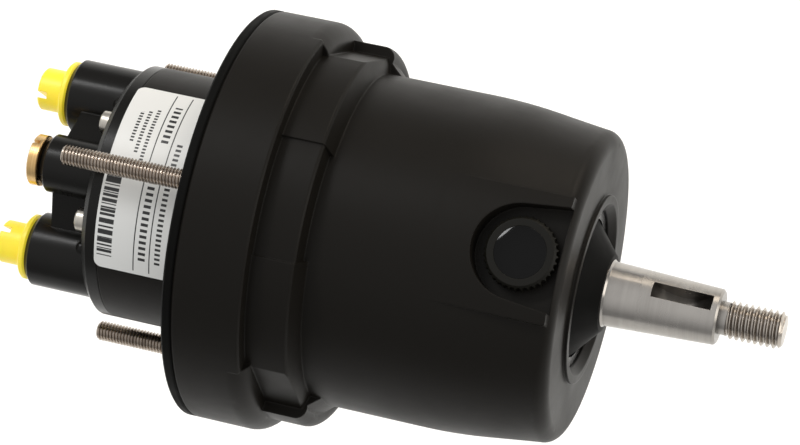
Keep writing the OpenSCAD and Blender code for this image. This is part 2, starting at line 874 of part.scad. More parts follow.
// Socket head screws of the rear cover
module cover_screws() {
    head_bevel = 0.4;
    hex_corner = 6;
    color([0.72, 0.7, 0.66])
        in_frame()
            at_screws()
                difference() {
                    union() {
                        bevelled_bar(screw_head_r, z_cover - screw_head_h, z_cover, head_bevel);
                        bore(screw_r, z_cover - head_bevel, z_cover + screw_len);
                    }
                    translate([0, 0, z_cover - screw_head_h - cut])
                        cylinder(d = hex_socket / cos(half_turn / hex_corner), h = screw_head_h / 2 + cut,
                                 $fn = hex_corner);
                }
}

// Transit cap pushed into a port: rim, stem and a slotted grip
module port_cap() {
    rim_t = 2.2;
    grip_in = 3.4;
    grip_r = cap_rim_d / 2 - grip_in;
    slot_w = 1.8;
    slot_off = 2;
    slot_depth = 3.2;
    stem_len = 6;
    stem_r = port_r - free_gap;
    stem_wall = 1.5;
    color([0.97, 0.91, 0.2])
        in_frame()
            translate([port_x, port_y, z_port])
                difference() {
                    union() {
                        bevelled_bar(cap_rim_d / 2, -rim_t, 0, edge_bevel);
                        bevelled_bar(grip_r, -rim_t - cap_grip, 0, edge_bevel);
                        bore(stem_r, -rim_t / 2, stem_len);
                    }
                    translate([-slot_off - slot_w, -grip_r - cut, -rim_t - cap_grip - cut])
                        cube([slot_w, 2 * grip_r + 2 * cut, slot_depth + cut]);
                    bore(stem_r - stem_wall, 0, stem_len + cut);
                }
}

module port_cap_right() {
    port_cap();
}

module port_cap_left() {
    mirror([1, 0, 0])
        port_cap();
}

// Slotted brass plug in the vent boss
module vent_plug() {
    slot_w = 1.4;
    slot_depth = 2.2;
    slot_angle = 35;
    color([0.85, 0.7, 0.45])
        in_frame()
            translate([0, vent_y, z_vent])
                difference() {
                    union() {
                        bevelled_bar(vent_head_d / 2, -vent_head_h - vent_ring_t, -vent_ring_t,
                                     edge_bevel / 2);
                        bore(vent_stem_r, -vent_ring_t - cut, vent_stem_len);
                    }
                    rotate([0, 0, -slot_angle])
                        translate([-slot_w / 2, -vent_head_d, -vent_head_h - vent_ring_t - cut])
                            cube([slot_w, 2 * vent_head_d, slot_depth + cut]);
                }
}

// Ring under the vent plug's head
module vent_plug_oring() {
    color([0.04, 0.04, 0.04])
        in_frame()
            translate([0, vent_y, z_vent - vent_ring_t / 2])
                torus(vent_stem_r + vent_ring_t / 2 + seat_fit, vent_ring_t / 2 - seat_fit);
}

// Places a piece of the lock valve, drawn along +X
module in_valve_bore() {
    translate([0, port_y, z_valve])
        children();
}

// Round bar along the lock valve's bore
module valve_bar(r, x0, x1) {
    translate([x0, 0, 0])
        rotate([0, quarter, 0])
            cylinder(r = r, h = x1 - x0, $fn = fine_fn);
}

// Block with the cross bore of the lock valve
module lock_valve_block() {
    color([0.7, 0.71, 0.73])
        in_frame()
            difference() {
                bore(valve_r - seat_fit, z_seam + seat_fit, z_valve_front - seat_fit);
                in_valve_bore()
                    valve_bar(valve_bore_r, -valve_d, valve_d);
                both_sides() {
                    translate([feed_x, port_y, 0])
                        bore(feed_r, z_valve, z_valve_front + cut);
                    translate([outlet_x, port_y, 0])
                        bore(passage_r, z_seam - cut, z_valve);
                }
                translate([0, vent_way_y, 0])
                    bore(passage_r, z_seam - cut, z_valve_front + cut);
            }
}

// Spool that opens the far check when one side is pumped
module lock_spool() {
    land = 1.5;
    waist = 0.8;
    color([0.75, 0.75, 0.77])
        in_frame()
            in_valve_bore()
                difference() {
                    union() {
                        valve_bar(valve_bore_r - run_fit, -spool_half, spool_half);
                        valve_bar(poppet_tip_r / 2, -spool_half - spool_nose, spool_half + spool_nose);
                    }
                    rotate([0, quarter, 0])
                        ring(valve_bore_r + cut, valve_bore_r - waist, -spool_half + land, -land / 2);
                    rotate([0, quarter, 0])
                        ring(valve_bore_r + cut, valve_bore_r - waist, land / 2, spool_half - land);
                }
}

// Seat of a check valve
module check_seat() {
    color([0.78, 0.66, 0.42])
        in_frame()
            in_valve_bore()
                difference() {
                    valve_bar(valve_bore_r - seat_fit, seat_x, seat_x + seat_t);
                    valve_bar(seat_hole_r, seat_x - cut, seat_x + seat_t + cut);
                }
}

module check_seat_right() {
    check_seat();
}

module check_seat_left() {
    mirror([1, 0, 0])
        check_seat();
}

// Poppet of a check valve: cone, guide and spring stem
module check_poppet() {
    stem_r = check_coil_r - check_wire / 2 - free_gap;
    cone_step = 1;
    flutes = 3;
    flute_r = 1.4;
    guide_x = poppet_x + poppet_cone;
    color([0.76, 0.76, 0.78])
        in_frame()
            in_valve_bore()
                difference() {
                    union() {
                        translate([poppet_x, 0, 0])
                            rotate([0, quarter, 0])
                                cylinder(r1 = poppet_tip_r, r2 = seat_hole_r + cone_step, h = poppet_cone);
                        valve_bar(valve_bore_r - run_fit, guide_x, poppet_back_x);
                        valve_bar(stem_r, poppet_back_x - poppet_body / 2, poppet_back_x + poppet_stem);
                    }
                    for (i = [1:flutes])
                        rotate([full_turn * i / flutes, 0, 0])
                            translate([0, 0, valve_bore_r])
                                valve_bar(flute_r, guide_x - cut, poppet_back_x + cut);
                }
}

module check_poppet_right() {
    check_poppet();
}

module check_poppet_left() {
    mirror([1, 0, 0])
        check_poppet();
}

// Spring behind a check poppet
module check_spring() {
    color([0.7, 0.7, 0.72])
        in_frame()
            in_valve_bore()
                translate([poppet_back_x + seat_fit, 0, 0])
                    rotate([0, quarter, 0])
                        coil(check_coil_r, check_wire, valve_plug_x - poppet_back_x - 2 * seat_fit,
                             check_turns);
}

module check_spring_right() {
    check_spring();
}

module check_spring_left() {
    mirror([1, 0, 0])
        check_spring();
}

// Screwed plug that closes one end of the lock valve's bore
module valve_end_plug() {
    slot_w = 1.4;
    slot_depth = 1.2;
    color([0.7, 0.7, 0.7])
        in_frame()
            in_valve_bore()
                difference() {
                    valve_bar(valve_bore_r - seat_fit, valve_plug_x, valve_plug_x + valve_plug_t);
                    translate([valve_plug_x + valve_plug_t - slot_depth, -slot_w / 2, -valve_bore_d])
                        cube([slot_depth + cut, slot_w, 2 * valve_bore_d]);
                }
}

module valve_end_plug_right() {
    valve_end_plug();
}

module valve_end_plug_left() {
    mirror([1, 0, 0])
        valve_end_plug();
}

// Fixed plate with the two kidney slots
module port_plate() {
    color([0.76, 0.6, 0.38])
        in_frame()
            difference() {
                ring(casing_rim_r - free_gap, rotor_shaft_d / 2 + free_gap, z_plate, z_plate + plate_t);
                both_sides()
                    sweep_from_top(quarter - kidney_half, quarter + kidney_half)
                        translate([kidney_r - kidney_w / 2, z_plate - cut])
                            square([kidney_w, plate_t + 2 * cut]);
            }
}

// Bush for the shaft's tail
module rear_bush() {
    color([0.76, 0.6, 0.36])
        in_frame()
            ring(bush_r, tail_d / 2 + run_fit, z_bush + seat_fit, z_plate - seat_fit);
}

// Cylinder block, keyed to the shaft
module rotor() {
    color([0.6, 0.6, 0.62])
        in_frame()
            difference() {
                ring(rotor_r, rotor_shaft_d / 2 + seat_fit, z_rotor_back, z_rotor_front);
                around(piston_count, piston_circle_r)
                    bore(piston_r + run_fit, z_rotor_floor, z_rotor_front + cut);
                around(piston_count, piston_circle_r)
                    bore(rotor_port_r, z_rotor_back - cut, z_rotor_floor + cut);
                translate([-drive_key / 2 - seat_fit, 0, z_rotor_back - cut])
                    cube([drive_key + 2 * seat_fit, (rotor_shaft_d + drive_key) / 2 + seat_fit,
                          rotor_len + 2 * cut]);
            }
}

// Key between shaft and rotor
module rotor_key() {
    color([0.5, 0.5, 0.52])
        in_frame()
            translate([-drive_key / 2, (rotor_shaft_d - drive_key) / 2, z_rotor_back + drive_key])
                cube([drive_key, drive_key, rotor_len - 2 * drive_key]);
}

// Moves a piece from the shaft axis to the bore of one piston
module at_piston(i) {
    rotate([0, 0, (i - 1) * full_turn / piston_count])
        translate([0, piston_circle_r, 0])
            children();
}

// One piston: a cup with a ball end
module piston(i) {
    color([0.8, 0.8, 0.82])
        in_frame()
            at_piston(i)
                difference() {
                    union() {
                        bore(piston_r, z_piston_back, z_piston_ball);
                        translate([0, 0, z_piston_ball])
                            sphere(r = piston_r);
                    }
                    bore(piston_r - piston_wall, z_piston_back - cut, z_piston_crown);
                }
}

// Spring inside one piston
module piston_spring(i) {
    color([0.65, 0.65, 0.68])
        in_frame()
            at_piston(i)
                translate([0, 0, z_rotor_floor + seat_fit])
                    coil(spring_r, spring_wire, z_piston_crown - z_rotor_floor - 2 * seat_fit, spring_turns);
}

// Places a piece of the thrust bearing at a depth behind the tilted face
module on_tilt(depth) {
    translate([0, 0, z_swash])
        rotate([swash_tilt, 0, 0])
            translate([0, 0, -depth])
                children();
}

// Fixed wedge with a tilted face and its ball groove
module swash_plate() {
    oil_way_gap = 1;
    span = 4 * swash_r;
    color([0.55, 0.55, 0.58])
        in_frame()
            difference() {
                ring(swash_r, swash_bore_r, z_swash - swash_r, z_wall);
                on_tilt(span)
                    translate([-span / 2, -span / 2, 0])
                        cube(span);
                on_tilt(thrust_gap)
                    torus(piston_circle_r, thrust_r + groove_fit);
                translate([0, oil_way_y, 0])
                    bore(oil_way_r + oil_way_gap, z_wall - swash_r, z_wall + cut);
                translate([0, swash_dowel_y, 0])
                    bore(swash_dowel_r + seat_fit, z_wall - swash_dowel_len / 2, z_wall + cut);
            }
}

// Pin that keeps the swash plate from turning
module swash_dowel() {
    end_gap = 0.1;
    half_len = swash_dowel_len / 2 - end_gap;
    color([0.6, 0.6, 0.62])
        in_frame()
            translate([0, swash_dowel_y, 0])
                bevelled_bar(swash_dowel_r, z_wall - half_len, z_wall + half_len, edge_bevel / 2);
}

// Balls between swash plate and thrust race
module thrust_balls() {
    color([0.85, 0.85, 0.87])
        in_frame()
            on_tilt(thrust_gap)
                around(thrust_balls_n, piston_circle_r)
                    sphere(r = thrust_r);
}

// Flat cage of the thrust balls
module thrust_cage() {
    cage_half_t = thrust_gap / 2;
    cage_edge = 1;
    cage_half_w = thrust_r + cage_edge;
    color([0.76, 0.6, 0.36])
        in_frame()
            on_tilt(thrust_gap)
                difference() {
                    ring(piston_circle_r + cage_half_w, piston_circle_r - cage_half_w,
                         -cage_half_t, cage_half_t);
                    around(thrust_balls_n, piston_circle_r)
                        sphere(r = thrust_r + groove_fit);
                }
}

// Turning race that the pistons press on
module thrust_race() {
    color([0.7, 0.7, 0.73])
        in_frame()
            on_tilt(thrust_gap)
                difference() {
                    ring(piston_circle_r + race_half_w, piston_circle_r - race_half_w,
                         -thrust_gap - race_t, -thrust_gap);
                    torus(piston_circle_r, thrust_r + groove_fit);
                }
}

// Wheel shaft: tail, rotor seat, bearing seat, taper with key seat and threaded end
module shaft() {
    rotor_seat_r = rotor_shaft_d / 2;
    rotor_seat_end = z_rotor_front + cut;
    tail_r = tail_d / 2;
    shaft_collar_r = shaft_r + shaft_collar_step;
    z_shaft_collar = z_bearing_back - shaft_collar_len;
    thread_root_r = nut_thread_r - nut_neck_in;
    color([0.72, 0.7, 0.67])
        in_frame()
            difference() {
                rotate_extrude()
                    polygon([[0, z_tail], [tail_r - edge_bevel, z_tail], [tail_r, z_tail + edge_bevel],
                             [tail_r, z_rotor_back], [rotor_seat_r, z_rotor_back],
                             [rotor_seat_r, rotor_seat_end], [shaft_r, rotor_seat_end],
                             [shaft_r, z_shaft_collar], [shaft_collar_r, z_shaft_collar],
                             [shaft_collar_r, z_bearing_back], [shaft_r, z_bearing_back],
                             [shaft_r, z_taper - edge_bevel], [taper_r, z_taper],
                             [taper_end_r + edge_bevel / taper_ratio / 2, z_taper_end - edge_bevel],
                             [taper_end_r - edge_bevel, z_taper_end], [thread_root_r, z_taper_end],
                             [thread_root_r, z_taper_end + nut_neck],
                             [nut_thread_r, z_taper_end + nut_neck + nut_neck_in],
                             [nut_thread_r, z_shaft_end - nut_bevel],
                             [nut_thread_r - nut_bevel, z_shaft_end], [0, z_shaft_end]]);
                rotate([0, 0, -keyseat_angle])
                    translate([-keyseat_w / 2, keyseat_axis_r, z_keyseat])
                        rotate([0, quarter, 0])
                            cylinder(r = keyseat_r, h = keyseat_w);
                translate([-drive_key / 2 - seat_fit, (rotor_shaft_d - drive_key) / 2 - seat_fit,
                           z_rotor_back + drive_key - seat_fit])
                    cube([drive_key + 2 * seat_fit, drive_key + cut,
                          rotor_len - 2 * drive_key + 2 * seat_fit]);
            }
}

// Outer ring of the shaft bearing
module bearing_outer_race() {
    color([0.72, 0.72, 0.74])
        in_frame()
            difference() {
                ring(bore_r - seat_fit, ball_circle_r + race_gap - race_rest, z_bearing_back, z_seal_back);
                translate([0, 0, z_bearing])
                    torus(ball_circle_r, ball_r + groove_fit);
            }
}

// Inner ring of the shaft bearing
module bearing_inner_race() {
    color([0.72, 0.72, 0.74])
        in_frame()
            difference() {
                ring(ball_circle_r - race_gap + race_rest, shaft_r + seat_fit, z_bearing_back, z_seal_back);
                translate([0, 0, z_bearing])
                    torus(ball_circle_r, ball_r + groove_fit);
            }
}

// Balls of the shaft bearing
module bearing_balls() {
    color([0.85, 0.85, 0.87])
        in_frame()
            translate([0, 0, z_bearing])
                around(bearing_balls_n, ball_circle_r)
                    sphere(r = ball_r);
}

// Cage of the shaft bearing
module bearing_cage() {
    cage_half_t = 1.2;
    cage_edge = 1;
    cage_half_w = ball_r + cage_edge;
    color([0.76, 0.6, 0.36])
        in_frame()
            translate([0, 0, z_bearing])
                difference() {
                    ring(ball_circle_r + cage_half_t, ball_circle_r - cage_half_t,
                         -cage_half_w, cage_half_w);
                    around(bearing_balls_n, 0)
                        rotate([-quarter, 0, 0])
                            cylinder(r = ball_r + groove_fit, h = bore_r);
                }
}

// Lip seal in front of the bearing
module shaft_seal() {
    shell = 2.6;
    web = 2;
    lip_t = 1.6;
    lip_r = shaft_r + run_fit;
    color([0.06, 0.06, 0.06])
        in_frame()
            rotate_extrude()
                polygon([[bore_r - seat_fit, z_seal_back], [bore_r - seat_fit, z_seal_front],
                         [lip_r, z_seal_front], [lip_r, z_seal_back + web],
                         [lip_r + lip_t, z_seal_back + web], [lip_r + lip_t, z_seal_front - web],
                         [bore_r - shell, z_seal_front - web], [bore_r - shell, z_seal_back]]);
}

// Rubber cone on the shaft that keeps spray off the seal
module dust_boot() {
    foot_t = 1;
    tip_wall = 1.4;
    tip_back = 0.2;
    z_foot = z_seal_front + free_gap;
    z_tip = z_taper - edge_bevel - tip_back;
    color([0.07, 0.07, 0.07])
        in_frame()
            rotate_extrude()
                polygon([[shaft_r + seat_fit, z_foot], [boot_d / 2, z_foot], [boot_d / 2, z_foot + foot_t],
                         [shaft_r + tip_wall, z_tip], [shaft_r + seat_fit, z_tip]]);
}

// Spring ring in the nose, its opening to the top
module nose_circlip() {
    clip_in_r = boot_d / 2 + free_gap;
    color([0.12, 0.12, 0.12])
        in_frame()
            sweep_from_top(clip_open, full_turn - clip_open)
                translate([clip_in_r, z_seal_front + seat_fit])
                    square([bore_r + clip_grip - clip_in_r - seat_fit, clip_t - 2 * seat_fit]);
}

// Ribbed filler plug
module filler_plug() {
    head_bevel = 1.1;
    rib_r = 0.8;
    rib_fn = 16;
    color([0.1, 0.1, 0.08])
        translate([0, -z_filler, 0])
            difference() {
                union() {
                    bevelled_bar(filler_head_d / 2, filler_head_y, filler_top_y, head_bevel);
                    bore(filler_thread_r, oil_way_y, filler_head_y + cut);
                }
                around(filler_ribs, filler_head_d / 2 + rib_r / 4)
                    translate([0, 0, filler_head_y - cut])
                        cylinder(r = rib_r, h = filler_head_h - edge_bevel + cut, $fn = rib_fn);
                bore(badge_d / 2 + seat_fit, filler_top_y - badge_seat, filler_top_y + cut);
            }
}

// Ring under the filler plug's head
module filler_plug_oring() {
    color([0.04, 0.04, 0.04])
        translate([0, -z_filler, filler_head_y - oring_r])
            torus(filler_thread_r + oring_r + run_fit, oring_r - seat_fit);
}

// Plain domed badge on the filler plug
module plug_badge() {
    badge_r = badge_d / 2;
    dome_r = (pow(badge_r, 2) + pow(badge_rise, 2)) / (2 * badge_rise);
    color([0.03, 0.03, 0.03])
        translate([0, -z_filler, filler_top_y])
            intersection() {
                translate([0, 0, badge_rise - dome_r])
                    sphere(r = dome_r);
                bore(badge_r, -badge_seat, badge_rise + cut);
            }
}

front_housing();
mounting_gasket();
mounting_studs();
pump_casing();
casing_oring();
casing_circlip();
rear_cover();
cover_oring();
cover_screws();
port_cap_left();
port_cap_right();
vent_plug();
vent_plug_oring();
lock_valve_block();
lock_spool();
check_seat_left();
check_seat_right();
check_poppet_left();
check_poppet_right();
check_spring_left();
check_spring_right();
valve_end_plug_left();
valve_end_plug_right();
port_plate();
rear_bush();
rotor();
rotor_key();
swash_plate();
swash_dowel();
thrust_balls();
thrust_cage();
thrust_race();
shaft();
bearing_outer_race();
bearing_inner_race();
bearing_balls();
bearing_cage();
shaft_seal();
dust_boot();
nose_circlip();
filler_plug();
filler_plug_oring();
plug_badge();
for (i = [1:piston_count])
    piston(i);
for (i = [1:piston_count])
    piston_spring(i);
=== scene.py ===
"""Looks of a hydraulic helm pump: finishes, screw threads, a plain label and a small studio."""

import json
import logging
import math
from collections.abc import Callable, Iterator
from contextlib import contextmanager
from dataclasses import dataclass, field, replace
from enum import Enum
from typing import Any, ClassVar

import bpy
from mathutils import Color, Matrix, Vector

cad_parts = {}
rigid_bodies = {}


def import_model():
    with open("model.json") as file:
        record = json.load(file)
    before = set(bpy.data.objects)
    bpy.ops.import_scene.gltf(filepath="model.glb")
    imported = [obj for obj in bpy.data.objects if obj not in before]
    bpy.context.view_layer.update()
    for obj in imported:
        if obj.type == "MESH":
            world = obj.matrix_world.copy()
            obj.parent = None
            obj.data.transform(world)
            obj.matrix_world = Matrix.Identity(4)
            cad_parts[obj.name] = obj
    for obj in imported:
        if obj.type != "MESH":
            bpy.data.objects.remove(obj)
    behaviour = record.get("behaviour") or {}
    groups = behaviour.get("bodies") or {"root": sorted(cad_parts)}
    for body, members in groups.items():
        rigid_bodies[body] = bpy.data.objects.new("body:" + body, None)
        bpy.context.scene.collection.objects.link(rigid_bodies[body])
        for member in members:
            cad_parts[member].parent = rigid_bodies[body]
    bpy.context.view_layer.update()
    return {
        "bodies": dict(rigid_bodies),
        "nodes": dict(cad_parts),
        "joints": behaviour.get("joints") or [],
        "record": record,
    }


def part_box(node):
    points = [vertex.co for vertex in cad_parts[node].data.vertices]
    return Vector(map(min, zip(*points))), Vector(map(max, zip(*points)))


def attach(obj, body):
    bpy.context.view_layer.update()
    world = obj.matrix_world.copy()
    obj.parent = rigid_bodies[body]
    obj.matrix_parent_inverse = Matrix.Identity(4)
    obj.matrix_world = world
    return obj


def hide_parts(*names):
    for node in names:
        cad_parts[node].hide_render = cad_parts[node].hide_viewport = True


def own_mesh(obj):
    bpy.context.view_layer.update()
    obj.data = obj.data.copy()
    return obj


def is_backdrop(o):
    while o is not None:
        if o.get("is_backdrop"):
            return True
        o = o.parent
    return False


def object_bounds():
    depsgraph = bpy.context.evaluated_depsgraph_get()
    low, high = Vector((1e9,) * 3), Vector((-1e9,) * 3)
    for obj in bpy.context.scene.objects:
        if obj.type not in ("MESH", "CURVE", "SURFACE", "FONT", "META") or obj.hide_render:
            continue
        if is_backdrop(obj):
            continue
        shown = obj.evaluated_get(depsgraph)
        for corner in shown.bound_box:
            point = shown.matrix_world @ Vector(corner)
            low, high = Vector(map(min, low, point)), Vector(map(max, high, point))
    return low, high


LOG = logging.getLogger("helm_pump")
MM = 0.001
INCH_MM = 25.4
FULL_TURN = 2 * math.pi
QUARTER_TURN = math.pi / 2
BYTE = 255

Frame = dict[str, Any]
Point = tuple[float, float, float]
Range = tuple[float, float]
Socket = bpy.types.NodeSocket


class Body(Enum):
    """The moving bodies that new pieces ride on."""

    HOUSING = "housing"
    SHAFT = "shaft_assembly"


class Slot(Enum):
    """Names of material slots for stud, shaft and spring steel."""

    STUD = "stud_steel"
    SHAFT = "shaft_steel"
    SPRING = "spring_steel"


class Cut(Enum):
    """What a cutting shape does to a piece."""

    KEEP_INSIDE = "INTERSECT"
    TAKE_AWAY = "DIFFERENCE"


class Ends(Enum):
    """How the ends of a cylinder are made."""

    CLOSED = "NGON"
    OPEN = "NOTHING"


class Effect(Enum):
    """Shader effects that several finishes share."""

    GRAIN = "coat_grain"
    LINES = "turned_lines"
    RUB = "edge_rub"
    HAZE = "handled_haze"
    BLOCK = "printed_block"


def linear(code: str) -> tuple[float, float, float, float]:
    """Turns a colour as it looks on a screen into light.

    Args:
        code: The colour as six hexadecimal digits.

    Returns:
        Red, green, blue and alpha for a shader socket.
    """
    screen = Color([value / BYTE for value in bytes.fromhex(code)])
    return (*screen.from_srgb_to_scene_linear(), 1.0)


class Graph:
    """Adds and links the nodes of one shader tree."""

    # A Mix node has sockets for each kind of data, and these are the places of a colour's.
    MIX_INPUTS = (0, 6, 7)
    MIX_OUTPUT = 2
    LINE_DETAIL = 2.0

    def __init__(self, tree: bpy.types.NodeTree) -> None:
        """Keeps the tree that the nodes go into."""
        self.tree = tree

    def feed(self, socket: Socket, value: object) -> None:
        """Gives an input a constant, or links it to another node's output.

        Args:
            socket: The input.
            value: A constant, or the output to link.
        """
        if isinstance(value, Socket):
            self.tree.links.new(value, socket)
        else:
            socket.default_value = value

    def node(self, kind: str, settings: dict[str, object] | None = None, **inputs: object) -> bpy.types.Node:
        """Adds a node with its settings and inputs.

        Args:
            kind: The node's type name.
            settings: Properties of the node itself.
            **inputs: Values or outputs for its inputs, with _ for a space.

        Returns:
            The new node.
        """
        made = self.tree.nodes.new(kind)
        for name, value in (settings or {}).items():
            setattr(made, name, value)
        for name, value in inputs.items():
            self.feed(made.inputs[name.replace("_", " ")], value)
        return made

    def math(self, operation: str, *values: object) -> Socket:
        """Adds a Math node.

        Args:
            operation: The operation's name.
            *values: Its operands, in order.

        Returns:
            The result.
        """
        made = self.node("ShaderNodeMath", {"operation": operation})
        for socket, value in zip(made.inputs, values):
            self.feed(socket, value)
        return made.outputs[0]

    def spread(self, value: Socket, span: Range, low: object = 0.0, high: object = 1.0) -> Socket:
        """Maps a value from one range to another, held at the ends.

        Args:
            value: The value to map.
            span: The values that give low and high.
            low: The result at the span's start.
            high: The result at the span's end.

        Returns:
            The mapped value.
        """
        start, end = span
        made = self.node("ShaderNodeMapRange", Value=value, From_Min=start, From_Max=end, To_Min=low,
                         To_Max=high)
        return made.outputs["Result"]

    def blend(self, share: object, first: object, second: object) -> Socket:
        """Mixes two colours.

        Args:
            share: How much of the second colour shows.
            first: The first colour or output.
            second: The second colour or output.

        Returns:
            The mixed colour.
        """
        made = self.node("ShaderNodeMix", {"data_type": "RGBA"})
        for number, value in zip(self.MIX_INPUTS, (share, first, second)):
            self.feed(made.inputs[number], value)
        return made.outputs[self.MIX_OUTPUT]

    def noise(self, place: Socket, scale: object, detail: float, rough: float = 0.5) -> Socket:
        """Adds a noise texture on a place in space.

        Args:
            place: The coordinates.
            scale: Cells to the metre.
            detail: Finer layers.
            rough: Strength of the finer layers.

        Returns:
            The noise, about 0.5 on average.
        """
        made = self.node("ShaderNodeTexNoise", Vector=place, Scale=scale, Detail=detail, Roughness=rough)
        return made.outputs[0]

    def line_noise(self, along: Socket, scale: object) -> Socket:
        """Adds noise that changes along one direction only.

        Args:
            along: The coordinate along that direction.
            scale: Lines to the metre.

        Returns:
            The noise, about 0.5 on average.
        """
        made = self.node("ShaderNodeTexNoise", {"noise_dimensions": "1D"}, W=along, Scale=scale,
                         Detail=self.LINE_DETAIL)
        return made.outputs[0]


class EffectShelf:
    """Builds each shared effect once, as a shader node group."""

    WAVE_SCALE = 0.2
    WAVE_HEIGHT = 0.6
    COARSE_RATIO = 9.0
    COARSE_HEIGHT = 0.8
    EDGE_FACING: Range = (0.995, 0.86)
    EDGE_MARK_PATCHES: Range = (0.35, 0.7)
    HAZE_DRIFT: Range = (0.3, 0.7)

    def __init__(self) -> None:
        """Starts with no groups built."""
        self.groups: dict[Effect, bpy.types.NodeTree] = {}
        self.recipes: dict[Effect, Callable[[], bpy.types.NodeTree]] = {
            Effect.GRAIN: self.coat_grain,
            Effect.LINES: self.turned_lines,
            Effect.RUB: self.edge_rub,
            Effect.HAZE: self.handled_haze,
            Effect.BLOCK: self.printed_block,
        }

    def place(self, graph: Graph, effect: Effect, **inputs: object) -> Socket:
        """Puts an effect into a material.

        Args:
            graph: The material's nodes.
            effect: The effect.
            **inputs: Values or outputs for its inputs, with _ for a space.

        Returns:
            The effect's result.
        """
        if effect not in self.groups:
            self.groups[effect] = self.recipes[effect]()
        return graph.node("ShaderNodeGroup", {"node_tree": self.groups[effect]}, **inputs).outputs[0]

    def start(self, effect: Effect, inputs: dict[str, str],
              output: str) -> tuple[Graph, bpy.types.bpy_prop_collection, Socket]:
        """Starts a group with named sockets.

        Args:
            effect: The effect that the group makes.
            inputs: Its inputs' names and kinds.
            output: The name of its output, a value.

        Returns:
            The group's nodes, what it is given and the socket that its result goes to.
        """
        tree = bpy.data.node_groups.new(effect.value, "ShaderNodeTree")
        for name, kind in inputs.items():
            tree.interface.new_socket(name, in_out="INPUT", socket_type=f"NodeSocket{kind}")
        tree.interface.new_socket(output, in_out="OUTPUT", socket_type="NodeSocketFloat")
        graph = Graph(tree)
        return graph, graph.node("NodeGroupInput").outputs, graph.node("NodeGroupOutput").inputs[output]

    def coat_grain(self) -> bpy.types.NodeTree:
        """Builds the fine orange-peel grain of a sprayed or moulded surface.

        Returns:
            The node group.
        """
        graph, given, result = self.start(Effect.GRAIN, {"Vector": "Vector", "Grain": "Float"}, "Height")
        fine = graph.noise(given["Vector"], given["Grain"], detail=3.0, rough=0.6)
        wave_scale = graph.math("MULTIPLY", given["Grain"], self.WAVE_SCALE)
        wave = graph.noise(given["Vector"], wave_scale, detail=1.0)
        graph.feed(result, graph.math("MULTIPLY_ADD", wave, self.WAVE_HEIGHT, fine))
        return graph.tree

    def turned_lines(self) -> bpy.types.NodeTree:
        """Builds the fine lines that a lathe tool leaves.

        Returns:
            The node group.
        """
        graph, given, result = self.start(Effect.LINES, {"Along": "Float", "Lines": "Float"}, "Height")
        fine = graph.line_noise(given["Along"], given["Lines"])
        coarse = graph.line_noise(given["Along"], graph.math("DIVIDE", given["Lines"], self.COARSE_RATIO))
        graph.feed(result, graph.math("MULTIPLY_ADD", coarse, self.COARSE_HEIGHT, fine))
        return graph.tree

    def edge_rub(self) -> bpy.types.NodeTree:
        """Builds a broken mask along sharp edges, where a coat is thin or rubbed; its paler colour is also a
        painted edge highlight.

        Returns:
            The node group.
        """
        sockets = {"Softened": "Vector", "Normal": "Vector", "Vector": "Vector", "Patches": "Float"}
        graph, given, result = self.start(Effect.RUB, sockets, "RubAndHighlight")
        facing = graph.node("ShaderNodeVectorMath", {"operation": "DOT_PRODUCT"})
        for socket, name in zip(facing.inputs, ("Softened", "Normal")):
            graph.feed(socket, given[name])
        edge = graph.spread(facing.outputs["Value"], self.EDGE_FACING)
        patches = graph.noise(given["Vector"], given["Patches"], detail=4.0, rough=0.65)
        graph.feed(result, graph.math("MULTIPLY", edge, graph.spread(patches, self.EDGE_MARK_PATCHES)))
        return graph.tree

    def handled_haze(self) -> bpy.types.NodeTree:
        """Builds a roughness that drifts over the surface between two values.

        Returns:
            The node group.
        """
        sockets = {"Vector": "Vector", "Patches": "Float", "Low": "Float", "High": "Float"}
        graph, given, result = self.start(Effect.HAZE, sockets, "Roughness")
        drift = graph.noise(given["Vector"], given["Patches"], detail=3.0, rough=0.6)
        graph.feed(result, graph.spread(drift, self.HAZE_DRIFT, given["Low"], given["High"]))
        return graph.tree

    def printed_block(self) -> bpy.types.NodeTree:
        """Builds the mask of one printed rectangle, whole or broken into even dashes.

        Returns:
            The node group.
        """
        names = ("Across", "Along", "Mid Across", "Mid Along", "Width", "Length", "Step", "Share")
        graph, given, result = self.start(Effect.BLOCK, dict.fromkeys(names, "Float"), "Ink")
        count = graph.math("DIVIDE", given["Across"], given["Step"])
        ink = graph.math("LESS_THAN", graph.math("FRACT", count), given["Share"])
        for place, middle, size in (("Across", "Mid Across", "Width"), ("Along", "Mid Along", "Length")):
            offset = graph.math("ABSOLUTE", graph.math("SUBTRACT", given[place], given[middle]))
            inside = graph.math("LESS_THAN", graph.math("MULTIPLY", offset, 2.0), given[size])
            ink = graph.math("MULTIPLY", ink, inside)
        graph.feed(result, ink)
        return graph.tree


@dataclass
class Surface:
    """A material in the making: its nodes, the place on the object and the softened normal."""

    material: bpy.types.Material
    graph: Graph
    shader: bpy.types.Node
    place: Socket
    soft: Socket

    def feed(self, name: str, value: object) -> None:
        """Gives an input of the surface's shader a constant or another node's output."""
        self.graph.feed(self.shader.inputs[name], value)

    def bump(self, height: Socket, depth: float, strength: float = 1.0) -> None:
        """Gives the surface a relief on top of its softened edges.

        Args:
            height: The relief, from 0 to about 1.
            depth: The relief's real depth.
            strength: How much of it shows.
        """
        made = self.graph.node("ShaderNodeBump", Strength=strength, Distance=depth, Height=height,
                               Normal=self.soft)
        self.feed("Normal", made.outputs["Normal"])


